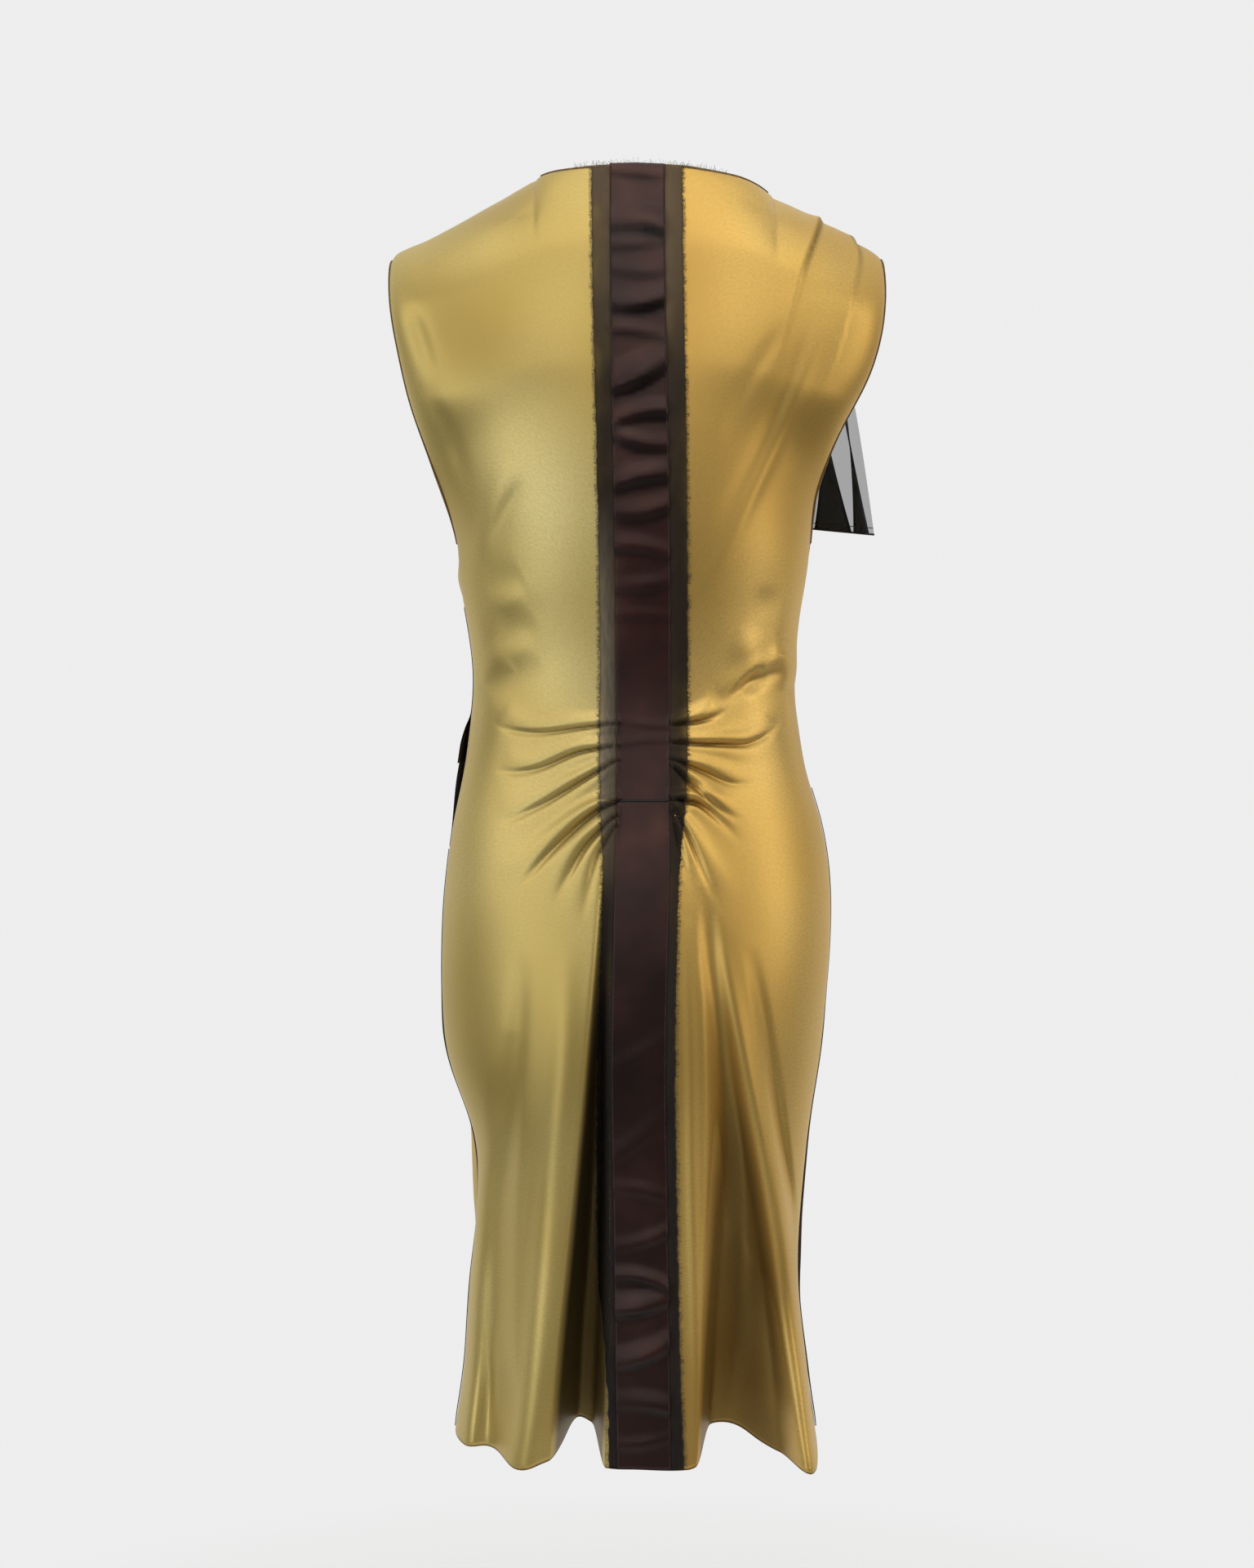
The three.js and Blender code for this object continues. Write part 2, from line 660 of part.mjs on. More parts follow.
// A closed wall between two grids of the same size. Columns run towards +X.
function wallGeometry(outer, inner) {
  const rowCount = outer.length;
  const columnCount = outer[0].length;
  const positions = [outer, inner].flat(2).flatMap((point) => point.toArray());
  const at = (skin, r, c) => (skin * rowCount + r) * columnCount + c;
  const index = [];
  const quad = (a, b, c, d) => index.push(a, b, c, a, c, d);
  for (let r = 0; r + 1 < rowCount; r += 1) {
    for (let c = 0; c + 1 < columnCount; c += 1) {
      quad(at(0, r, c), at(0, r + 1, c), at(0, r + 1, c + 1), at(0, r, c + 1));
      quad(at(1, r, c), at(1, r, c + 1), at(1, r + 1, c + 1), at(1, r + 1, c));
    }
  }
  for (let c = 0; c + 1 < columnCount; c += 1) {
    const r = rowCount - 1;
    quad(at(0, 0, c), at(0, 0, c + 1), at(1, 0, c + 1), at(1, 0, c));
    quad(at(0, r, c), at(1, r, c), at(1, r, c + 1), at(0, r, c + 1));
  }
  for (let r = 0; r + 1 < rowCount; r += 1) {
    const c = columnCount - 1;
    quad(at(0, r, 0), at(1, r, 0), at(1, r + 1, 0), at(0, r + 1, 0));
    quad(at(0, r, c), at(0, r + 1, c), at(1, r + 1, c), at(1, r, c));
  }
  return closedGeometry(positions, index);
}

// A round edging through stations of { point, outward, normal, radius }, as a loop or with two ends.
function edgingGeometry(stations, closed) {
  const positions = [];
  for (const { point, outward, normal, radius } of stations) {
    for (let i = 0; i < EDGING_SIDES; i += 1) {
      const angle = (2 * Math.PI * i) / EDGING_SIDES;
      const corner = point.clone();
      corner.addScaledVector(outward, radius * Math.cos(angle));
      corner.addScaledVector(normal, radius * Math.sin(angle));
      positions.push(...corner.toArray());
    }
  }
  const index = [];
  const count = stations.length;
  for (let s = 0; s < (closed ? count : count - 1); s += 1) {
    for (let i = 0; i < EDGING_SIDES; i += 1) {
      const next = (i + 1) % EDGING_SIDES;
      const a = s * EDGING_SIDES;
      const b = ((s + 1) % count) * EDGING_SIDES;
      index.push(a + i, a + next, b + next, a + i, b + next, b + i);
    }
  }
  if (!closed) {
    const end = (count - 1) * EDGING_SIDES;
    for (let i = 1; i + 1 < EDGING_SIDES; i += 1) {
      index.push(0, i + 1, i, end, end + i, end + i + 1);
    }
  }
  return closedGeometry(positions, index);
}

// Indexed geometry of a closed body, with its triangles turned round if they enclose a negative volume.
function closedGeometry(positions, index) {
  const corner = (i) => new THREE.Vector3().fromArray(positions, 3 * index[i]);
  let volume = 0;
  for (let i = 0; i < index.length; i += 3) {
    volume += corner(i).dot(corner(i + 1).cross(corner(i + 2)));
  }
  if (volume < 0) {
    index.reverse();
  }
  const geometry = new THREE.BufferGeometry();
  geometry.setAttribute('position', new THREE.Float32BufferAttribute(positions, 3));
  geometry.setIndex(index);
  geometry.computeVertexNormals();
  return geometry;
}

// How far a point lies inside the neck point of its side.
function neckPointDistance(point) {
  return NECK_POINT[sideName(point.x)] - Math.abs(point.x);
}

function isOnShoulder(r, point) {
  return r === topRow && neckPointDistance(point) <= NECK_POINT_REACH;
}

// A back panel's outer surface, with its columns towards +X.
function makeBackPanel(side) {
  const columns = side < 0 ? [...backColumns].reverse() : backColumns;
  const centreColumn = side < 0 ? columns.length - 1 : 0;
  const sideColumn = columns.length - 1 - centreColumn;
  const seamPlane = (r, c, point) => {
    if (c === centreColumn) {
      return 'x';
    }
    const onSideSeam = c === sideColumn && r <= underarmRow;
    return onSideSeam || isOnShoulder(r, point) ? 'y' : '';
  };
  const smooth = rows.map((row) => columns.map((column) => formPoint('back', side, row, column)));
  const inCentreColumn = (c) => c === centreColumn;
  const rise = (point, c) => (inCentreColumn(c) ? 0 : creaseRise(point.x, point.z));
  const outer = movedOut(smooth, gridNormals(smooth, 1, seamPlane), rise);
  return { outer, normals: gridNormals(outer, 1, seamPlane) };
}

function makeFrontPanel() {
  const outer = rows.map((row) => [
    ...frontColumns.slice(1).reverse().map((column) => formPoint('front', -1, row, column)),
    ...frontColumns.map((column) => formPoint('front', 1, row, column)),
  ]);
  const lastColumn = outer[0].length - 1;
  const seamPlane = (r, c, point) => {
    const onSideSeam = (c === 0 || c === lastColumn) && r <= underarmRow;
    return onSideSeam || isOnShoulder(r, point) ? 'y' : '';
  };
  return { outer, normals: gridNormals(outer, -1, seamPlane) };
}

const back = { left: makeBackPanel(1), right: makeBackPanel(-1) };
const front = makeFrontPanel();

function panelWall({ outer, normals }) {
  return wallGeometry(outer, movedOut(outer, normals, () => -WALL));
}

// A layer over both back panels around the centre, between two rows, at a distance off the panels.
function centreLayer(halfColumns, firstRow, lastRow, standOff, trim) {
  const across = (grids) => (r) => [
    ...grids.right[r].slice(-halfColumns, -1),
    ...grids.left[r].slice(0, halfColumns),
  ];
  const span = rows.map((row, r) => r).slice(firstRow, lastRow + 1);
  const points = span.map(across({ right: back.right.outer, left: back.left.outer }));
  const normals = span.map(across({ right: back.right.normals, left: back.left.normals }));
  const inner = movedOut(points, normals, standOff);
  const outer = movedOut(points, normals, (point, c) => standOff(point, c) + TRIM_WALL);
  for (const grid of [inner, outer]) {
    grid[0].forEach((point) => point.setZ(point.z + trim.bottom));
    grid[grid.length - 1].forEach((point) => point.setZ(point.z - trim.top));
  }
  return wallGeometry(outer, inner);
}

function puckerRise(z) {
  return PUCKERS.reduce((sum, pucker) => sum + pucker.rise * bell(z - pucker.z, PUCKER_HALF), 0);
}

function rowNear(z) {
  const gaps = rows.map((row) => Math.abs(row.z - z));
  return gaps.indexOf(Math.min(...gaps));
}

// The place of an edging beside a panel edge, straight out from the cloth.
function edgingStation(point, neighbour, normal) {
  const outward = point.clone().sub(neighbour);
  outward.addScaledVector(normal, -outward.dot(normal)).normalize();
  const centre = point.clone().addScaledVector(outward, SEAM_GAP + EDGE_CORD_RADIUS);
  centre.addScaledVector(normal, -WALL / 2);
  return { point: centre, outward, normal: normal.clone(), radius: EDGE_CORD_RADIUS };
}

function between(a, b) {
  return {
    point: a.point.clone().lerp(b.point, 0.5),
    outward: a.outward.clone().add(b.outward).normalize(),
    normal: a.normal.clone().add(b.normal).normalize(),
    radius: EDGE_CORD_RADIUS,
  };
}

// The binding of one armhole: up the back edge, over the shoulder tip and down the front edge.
function armholeBinding(name) {
  const stationsOf = ({ outer, normals }) => {
    const edge = name === 'right' ? 0 : outer[0].length - 1;
    const inside = name === 'right' ? 1 : outer[0].length - 2;
    const station = (row, r) => edgingStation(outer[r][edge], outer[r][inside], normals[r][edge]);
    return rows.map(station).slice(underarmRow);
  };
  const up = stationsOf(back[name]);
  const down = stationsOf(front).reverse();
  const tip = between(up[up.length - 1], down[0]);
  const underarm = between(up[0], down[down.length - 1]);
  underarm.outward.set(0, 0, 1);
  underarm.point.z = UNDERARM_Z + SEAM_GAP + EDGE_CORD_RADIUS;
  return edgingGeometry([underarm, ...up.slice(1, -1), tip, ...down.slice(1, -1)], true);
}

// The binding of the neck: along the back from right to left, then along the front.
function neckBinding() {
  const stationsOf = ({ outer, normals }) =>
    outer[topRow]
      .map((point, c) => edgingStation(point, outer[topRow - 1][c], normals[topRow][c]))
      .filter((entry, c) => neckPointDistance(outer[topRow][c]) > NECK_BINDING_END);
  const across = [...stationsOf(back.right).slice(0, -1), ...stationsOf(back.left)];
  return edgingGeometry([...across, ...stationsOf(front).reverse()], true);
}

// The dark edging outside one side seam, from below the waist band to the hem.
function sideEdging(name) {
  const side = name === 'left' ? 1 : -1;
  const top = SIDE_EDGING_TOP[name];
  const outward = new THREE.Vector3(side, 0, 0);
  const normal = new THREE.Vector3(0, 1, 0);
  const stations = front.outer
    .map((points) => points[side > 0 ? points.length - 1 : 0])
    .filter((point) => point.z <= top)
    .map((edge) => {
      const radius = tableValue(SIDE_EDGING, 'z', name, edge.z);
      const x = edge.x + side * (SEAM_GAP + radius);
      const point = new THREE.Vector3(x, radius * SIDE_EDGING_SET_BACK, edge.z);
      return { point, outward, normal, radius };
    });
  return edgingGeometry(stations, false);
}

// The point and normal of the front at a height, in one column of its grid.
function onFront(c, z) {
  const { outer, normals } = front;
  let r = 0;
  while (r + 2 < outer.length && outer[r + 1][c].z < z) {
    r += 1;
  }
  const t = clamp((z - outer[r][c].z) / (outer[r + 1][c].z - outer[r][c].z), 0, 1);
  return {
    point: outer[r][c].clone().lerp(outer[r + 1][c], t),
    normal: normals[r][c].clone().lerp(normals[r + 1][c], t).normalize(),
  };
}

// How far the band and its underlay flare off one side at a height.
function sideFlare(across, z) {
  const { none, full, easing, closed } = FLARE_HEIGHTS;
  const amount = across > 0 ? BAND_FLARE.left : BAND_FLARE.right;
  const height = smoothstep(none, full, z) * (1 - smoothstep(easing, closed, z));
  return amount * height * Math.pow(Math.abs(across), FLARE_SHARPNESS);
}

// A layer over the front, row by row at given heights for each end, at a distance off the panel.
function frontLayer(levels, standOff, firstColumn) {
  const columnCount = front.outer[0].length;
  const outer = [];
  const inner = [];
  for (const level of levels) {
    const outerRow = [];
    const innerRow = [];
    for (let c = firstColumn; c < columnCount; c += 1) {
      const share = c / (columnCount - 1);
      const { point, normal } = onFront(c, lerp(level.right, level.left, share));
      const off = standOff(2 * share - 1, point.z);
      innerRow.push(point.clone().addScaledVector(normal, off));
      outerRow.push(point.clone().addScaledVector(normal, off + TRIM_WALL));
    }
    outer.push(outerRow);
    inner.push(innerRow);
  }
  return wallGeometry(outer, inner);
}

function waistBand() {
  const levels = [BAND_BOTTOM]
    .concat(BAND_LEVELS.map((z) => ({ left: z, right: Math.max(z, BAND_BOTTOM.right + 2) })))
    .concat([{ left: BAND_TOP, right: BAND_TOP }]);
  const overUnderlay = LAYER_GAP + TRIM_WALL;
  const overlap = (z) => overUnderlay * smoothstep(BAND_STEP.top, BAND_STEP.bottom, z);
  const standOff = (across, z) => LAYER_GAP + overlap(z) + sideFlare(across, z);
  return frontLayer(levels, standOff, 1);
}

function bandUnderlay() {
  const levels = spacedLevels(0, 1, UNDERLAY_ROWS).map((share) => ({
    left: lerp(UNDERLAY_BOTTOM.left, UNDERLAY_TOP, share),
    right: lerp(UNDERLAY_BOTTOM.right, UNDERLAY_TOP, share),
  }));
  return frontLayer(levels, (across, z) => LAYER_GAP + sideFlare(across, z), 1);
}

// The y of the front's outer surface at an x and a height, or null past its edges.
function frontSurfaceY(x, z) {
  for (let c = 0; c + 1 < front.outer[0].length; c += 1) {
    const a = onFront(c, z).point;
    const b = onFront(c + 1, z).point;
    if (a.x <= x && b.x >= x) {
      return lerp(a.y, b.y, (x - a.x) / (b.x - a.x));
    }
  }
  return null;
}

// The sheer flounce: rounded flutes open from a short seam on the front to a free lower edge.
function flounce() {
  const { standOff, flutes, wave, overlap, topStart, topEnd, hemStart, hemEnd, rowCount } = FLOUNCE;
  const columnCount = flutes * FLOUNCE.columnsPerFlute + 1;
  const centre = [];
  for (let r = 0; r < rowCount; r += 1) {
    const down = 1 - r / (rowCount - 1);
    const opened = Math.pow(down, FLOUNCE.spread);
    const waveDepth = wave * Math.pow(down, FLOUNCE.waveSpread);
    const points = [];
    for (let c = 0; c < columnCount; c += 1) {
      const turn = (c / (columnCount - 1)) * flutes;
      const fold = overlap * Math.min(1, down * FLOUNCE.overlapRise) * Math.sin(4 * Math.PI * turn);
      const share = clamp((turn + fold) / flutes, 0, 1);
      const topX = lerp(topEnd.x, topStart.x, share);
      const topZ = lerp(topEnd.z, topStart.z, share);
      const topY = frontSurfaceY(topX, topZ) - standOff;
      const x = lerp(topX, lerp(hemEnd.x, hemStart.x, share), opened);
      const y = lerp(topY, lerp(hemEnd.y, hemStart.y, share), opened);
      const z = lerp(topZ, lerp(hemEnd.z, hemStart.z, share), down);
      points.push(new THREE.Vector3(x, y - waveDepth * Math.cos(2 * Math.PI * turn), z));
    }
    centre.push(points);
  }
  const normals = gridNormals(centre, -1, () => '');
  const skin = (distance) => movedOut(centre, normals, () => distance);
  return wallGeometry(skin(TRIM_WALL / 2), skin(-TRIM_WALL / 2));
}

function material(colour, roughness) {
  return new THREE.MeshStandardMaterial({ color: new THREE.Color(colour), roughness, metalness: 0 });
}

const GOLD_LEFT = material('#b8a257', 0.35);
const GOLD_RIGHT = material('#c39d4c', 0.35);
const RIBBON_BROWN = material('#4a2f30', 0.45);
const SHEER_OLIVE = material('#4b4434', 0.7);
const EDGE_BROWN = material('#5a4526', 0.6);
const SHEER_BLACK = material('#1b1b1d', 0.7);

function named(name, geometry, look) {
  const mesh = new THREE.Mesh(geometry, look);
  mesh.name = name;
  return mesh;
}

// The strip and the ribbon are each cut in two at the waist seam.
function centreTrims() {
  const seamRow = rowNear(WAIST_SEAM_Z);
  const stripOff = () => LAYER_GAP;
  const ribbonOff = (point) => 2 * LAYER_GAP + TRIM_WALL + puckerRise(point.z);
  const lower = { bottom: 0, top: SEAM_GAP / 2 };
  const upper = { bottom: SEAM_GAP / 2, top: 0 };
  const { strip, ribbon } = TRIM_COLUMNS;
  return [
    named('strip_lower', centreLayer(strip, 0, seamRow, stripOff, lower), SHEER_OLIVE),
    named('strip_upper', centreLayer(strip, seamRow, topRow, stripOff, upper), SHEER_OLIVE),
    named('ribbon_lower', centreLayer(ribbon, 0, seamRow, ribbonOff, lower), RIBBON_BROWN),
    named('ribbon_upper', centreLayer(ribbon, seamRow, topRow, ribbonOff, upper), RIBBON_BROWN),
  ];
}

const dress = new THREE.Group();
dress.name = 'dress';
dress.add(
  named('back_left', panelWall(back.left), GOLD_LEFT),
  named('back_right', panelWall(back.right), GOLD_RIGHT),
  named('front', panelWall(front), GOLD_RIGHT),
  ...centreTrims(),
  named('neck_binding', neckBinding(), EDGE_BROWN),
  named('armhole_binding_left', armholeBinding('left'), EDGE_BROWN),
  named('armhole_binding_right', armholeBinding('right'), EDGE_BROWN),
  named('side_edging_left', sideEdging('left'), RIBBON_BROWN),
  named('side_edging_right', sideEdging('right'), RIBBON_BROWN),
  named('band_underlay', bandUnderlay(), SHEER_OLIVE),
  named('waist_band', waistBand(), RIBBON_BROWN),
  named('flounce', flounce(), SHEER_BLACK),
);

export default dress;
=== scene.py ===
# A sleeveless knee-length satin dress, hollow and filled out as it is worn.
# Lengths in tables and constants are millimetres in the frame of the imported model, +Z up and +Y out of
# the back, and turn into metres where a mesh is made.
import math

import bpy
import numpy as np
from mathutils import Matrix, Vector

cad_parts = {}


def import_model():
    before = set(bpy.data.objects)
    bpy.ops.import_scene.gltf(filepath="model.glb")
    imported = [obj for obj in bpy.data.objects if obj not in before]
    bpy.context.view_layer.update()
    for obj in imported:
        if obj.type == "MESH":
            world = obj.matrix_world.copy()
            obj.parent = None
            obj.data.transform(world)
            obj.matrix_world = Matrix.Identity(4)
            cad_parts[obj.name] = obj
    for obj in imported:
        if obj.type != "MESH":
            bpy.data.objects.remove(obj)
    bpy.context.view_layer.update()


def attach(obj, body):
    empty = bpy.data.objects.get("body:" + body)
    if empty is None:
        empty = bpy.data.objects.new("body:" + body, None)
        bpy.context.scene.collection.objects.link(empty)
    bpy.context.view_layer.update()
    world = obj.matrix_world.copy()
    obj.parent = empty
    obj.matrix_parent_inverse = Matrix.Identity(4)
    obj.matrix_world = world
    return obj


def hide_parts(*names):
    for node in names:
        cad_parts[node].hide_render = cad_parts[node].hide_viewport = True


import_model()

MM = 0.001
SIDE_NAMES = {1: "left", -1: "right"}
rng = np.random.default_rng(7)


def table(columns, *rows):
    """A short table: the names of its columns, then one row for each section."""
    names = columns.split()
    return {name: np.array([row[i] for row in rows], float) for i, name in enumerate(names)}


# Heights and plan of the garment
NAPE_Z = 26
NAPE_Y = 52
FRONT_NECK_Z = -34
FRONT_NECK_Y = 72
FRONT_NECK_SCOOP = 2.6
UNDERARM_Z = -260
UNDERARM_BLEND = 60
TIP_Z = -44
HEM_Z = -957
WAIST_SEAM_Z = -447
ROUNDNESS = 2.3
SHOULDER_ROUNDING = 62
NECK_POINT = {1: 76, -1: 102}
SEAM_GAP = 0.3
EDGE_EVENING = (-15, -10, -5, 0, 5, 10, 15)
DEPTH_EVENING = (-30, -20, -10, 0, 10, 20, 30)
UNDERARM_EASE = 4
UNDERARM_EASED = 0.5

# Cloth thicknesses and the distance of each layer off the panel under it
SATIN = 0.5
SHEER = 0.25
RIBBON_THICKNESS = 0.4
STRIP_OFF = 0.4
RIBBON_OFF = 0.9
RIBBON_HALF = 20.3

STRIP_HALF = table(
    "z left right",
    (26, 35, 33), (-216, 32, 34), (-319, 32, 34), (-430, 32, 33), (-500, 29, 28),
    (-640, 31, 27.5), (-780, 33, 28), (-830, 32, 28.5), (-880, 27, 29), (-957, 26, 31),
)

# Half widths of the worn form by height, and its depths at the centre back and front
FORM = table(
    "z left right back front",
    (40, None, None, 50, 60), (26, None, None, 55, 62), (-20, None, None, 74, 70),
    (-70, None, None, 88, 82), (-130, None, None, 96, 98), (-190, None, None, 97, 108),
    (-260, 137, 133, 91, 106), (-280, 137, 131, 87, 101), (-300, 134, 127.5, 83, 97),
    (-320, 130.5, 124.5, 80, 93), (-340, 127.5, 123, 77, 90), (-360, 126, 121.5, 75, 88),
    (-380, 127, 122.5, 76, 88), (-400, 129.5, 125.5, 78, 89), (-420, 132, 128.5, 82, 91),
    (-440, 135.5, 133, 86, 93), (-460, 140, 140, 91, 95), (-480, 144, 145, 96, 97),
    (-500, 146.5, 148.5, 101, 99), (-530, 150, 151, 106, 101), (-570, 152, 150.5, 110, 103),
    (-610, 152, 147.5, 111, 103), (-650, 149, 144, 109, 103), (-680, 140, 139.5, 107, 102),
    (-710, 129, 135, 106, 101), (-740, 124.5, 132, 105, 101), (-770, 124.5, 129, 105, 100),
    (-800, 127, 126.5, 106, 100), (-830, 131, 125.5, 107, 100), (-860, 133.5, 128, 109, 100),
    (-900, 136, 134, 111, 101), (-930, 140, 138, 112, 103), (-957, 144.5, 143, 113, 104),
)

# The armhole edges by height: x on either side of the back and on the front, and their depths behind
# and in front of the side seam
ARMHOLE = table(
    "z left right front back_y front_y",
    (-260, 137, 133, 134, 0, 0), (-245, 139.5, 133, 137, 16, 18), (-231, 143.5, 133.5, 139, 26, 28),
    (-210, 151, 138.5, 142, 35, 37), (-187, 158, 146, 144, 41, 43), (-165, 166, 156, 147, 45, 47),
    (-140, 173, 170, 152, 49, 48), (-115, 178, 179, 159, 51, 46), (-90, 183, 184, 168, 50, 43),
    (-65, 186, 186, 179, 48, 40), (-44, 187, 186, 186.5, 47, 40),
)

# The upper outline of each half, from the centre of the neck down the shoulder seam to its tip
TOP_OUTLINE = table(
    "x left right",
    (0, 24, 24), (34, 22.5, 22.5), (50, 21.5, 20.5), (66, 20, 18), (78, 17, 15.5), (90, 10.5, 11),
    (102, 3.5, 4.5), (115, -3.5, -1.5), (130, -12, -10), (145, -20, -17.5), (160, -27.5, -26),
    (175, -33.5, -33.5), (183, -38, -39), (187, -44, -44),
)

# How far the centre back line wanders off the middle
CENTRE_LINE = table(
    "z x",
    (26, -1), (-92, 0), (-216, -3), (-319, -5), (-447, -5), (-640, -1), (-765, -3), (-957, -6),
)

# The hem of the back, and how far up the cloth bends to follow it
HEM_LIFT_HEIGHT = 170
HEM_LINE = table(
    "x z",
    (-147, -957), (-138, -963), (-128, -961), (-112, -957), (-95, -951), (-80, -943), (-65, -939),
    (-55, -941), (-46, -950), (-38, -953), (0, -952), (24, -951), (32, -946), (42, -940), (50, -940),
    (58, -946), (70, -950), (88, -955), (110, -955), (128, -955), (145, -957),
)

# Hollows of the skirt: a ramp down, a floor and a ramp up, by height
HOLLOWS = {
    1: table(
        "z start floor_start floor_end end depth",
        (-480, 20, 23, 24, 28, 0), (-565, 20, 25, 26, 33, 9), (-660, 20, 27, 30, 41, 32),
        (-790, 20.5, 29, 36, 54, 56), (-880, 21, 32, 42, 63, 70), (-957, 24, 36, 45, 69, 82),
    ),
    -1: table(
        "z start floor_start floor_end end depth",
        (-510, 42, 50, 52, 62, 0), (-560, 44, 54, 56, 67, 4), (-600, 48, 60, 62, 74, 6),
        (-660, 50, 67, 70, 86, 12), (-720, 50, 70, 78, 98, 20), (-790, 49, 67, 80, 112, 31),
        (-880, 46, 61, 75, 126, 48), (-957, 44, 57, 68, 134, 66),
    ),
}

# Rounded waves of the skirt: where the crest or trough runs, its half width and its rise
WAVE_SEAM_FADE = 0.35
WAVES = {
    1: [
        table("z x half rise", (-590, 50, 24, 0), (-700, 58, 26, 3), (-790, 66, 25, 6), (-880, 76, 24, 9),
              (-957, 88, 22, 12)),
        table("z x half rise", (-620, 96, 16, 0), (-700, 102, 17, -4), (-800, 107, 18, -10),
              (-957, 114, 21, -22)),
    ],
    -1: [
        table("z x half rise", (-550, 58, 15, 0), (-640, 78, 15, 4), (-720, 97, 16, 8), (-790, 110, 18, 14),
              (-880, 124, 21, 28), (-957, 136, 26, 46)),
        table("z x half rise", (-555, 84, 9, 0), (-620, 96, 9, -3), (-700, 108, 8, -6), (-760, 117, 7, -6),
              (-815, 122, 6, 0)),
    ],
}

# How far the front swells past the side seams, and the soft waves of its hem
SWELL_SHARE = 0.6
SIDE_SWELL = table(
    "z left right",
    (-262, 0, 0), (-285, 5, 0), (-310, 0, 0), (-680, 0, 0), (-705, 4.5, 0), (-740, 9, 1), (-775, 7.5, 3),
    (-810, 0.5, 4), (-840, 0, 2), (-870, 0, 0),
)
FRONT_WAVE_TOP = -560
FRONT_WAVE_PITCH = 92
FRONT_WAVE_DEPTH = 9
FRONT_WAVE_GROWTH = 1.5
BUST = {"x": 72, "z": -208, "rise": 17, "half_width": 42, "half_height": 50}

# Gathers out of the ribbon edges: the depth of the crease and its line as (x, z).
# Each is a narrow crease with a full fold above it and a flatter one below. Their widths, and how far off
# the folds lie, come in pairs: at the ribbon and at the far end.
GATHERS = [
    (2.6, [(17, -390), (45, -394), (73, -398), (98, -396), (115, -388)]),
    (3.2, [(19, -407), (45, -412), (73, -424), (95, -428), (110, -425)]),
    (3.2, [(17, -418), (45, -435), (68, -449), (92, -461), (107, -466)]),
    (5.2, [(13, -447), (29, -454), (45, -466), (64, -484), (82, -504), (95, -519)]),
    (3.4, [(17, -459), (38, -480), (52, -503), (66, -530)]),
    (2.6, [(17, -466), (29, -487), (36, -512), (42, -540)]),
    (3.8, [(-26, -391), (-48, -388), (-60, -384), (-70, -376)]),
    (3.4, [(-26, -404), (-62, -406), (-85, -406), (-104, -396), (-114, -380)]),
    (3.0, [(-26, -417), (-48, -425), (-71, -435), (-93, -434)]),
    (3.4, [(-28, -423), (-43, -438), (-62, -454), (-84, -465)]),
    (5.2, [(-24, -446), (-41, -448), (-50, -452), (-63, -463), (-81, -482)]),
    (3.2, [(-26, -450), (-39, -475), (-51, -503), (-64, -533)]),
    (2.8, [(-26, -455), (-32, -483), (-41, -516)]),
]
GATHER_TROUGH = (0.9, 3.0)
GATHER_FOLD_OFFSET = (3.2, 11.0)
GATHER_FOLD = (3.0, 10.0)
GATHER_TROUGH_DEPTH = 1.4
GATHER_FOLD_SHARE = 1.1
GATHER_LOWER_SHARE = 0.4
GATHER_FADE_FROM = 0.15
# Painted shade along the crease of each gather: its width at the ribbon and at the far end, the shares
# along the line over which it fades, and the crease depth at which it is darkest and past which it widens.
GATHER_SHADE = (1.3, 1.5)
GATHER_SHADE_FADE = (0.0, 0.75)
GATHER_SHADE_FULL = 3.4
CREASE_NONE = RIBBON_HALF - 4
CREASE_FULL = RIBBON_HALF + 3

# Two tucks in the right shoulder seam. The side nearer the neck lies on top.
TUCKS = [
    (4.0, [(-141, -6), (-134, -24), (-127, -42), (-121, -60), (-108, -110), (-95, -150)]),
    (4.0, [(-157, -18), (-163, -28), (-166, -40), (-164, -56), (-150, -112), (-136, -150)]),
]
TUCK_EDGE = 1.0
TUCK_SPREAD = 14
TUCK_FADE_FROM = 0.15
# Painted shade just beside the edge of each tuck: how dark it is, the shares along the line over which it
# fades, how far below the edge it lies and its width.
TUCK_SHADE = 0.6
TUCK_SHADE_FADE = (0.1, 0.8)
TUCK_SHADE_BELOW = 1.4
TUCK_SHADE_WIDTH = 1.8

# How dark the painted shade in the hollow of each side gets, and the depths between which it darkens
HOLLOW_SHADE = {1: 0.75, -1: 0.6}
HOLLOW_SHADE_DEPTH = (2, 20)

# The part of half a sine wave that a drape fold's height follows along its line
DRAPE_ENDS = (0.03, 0.97)

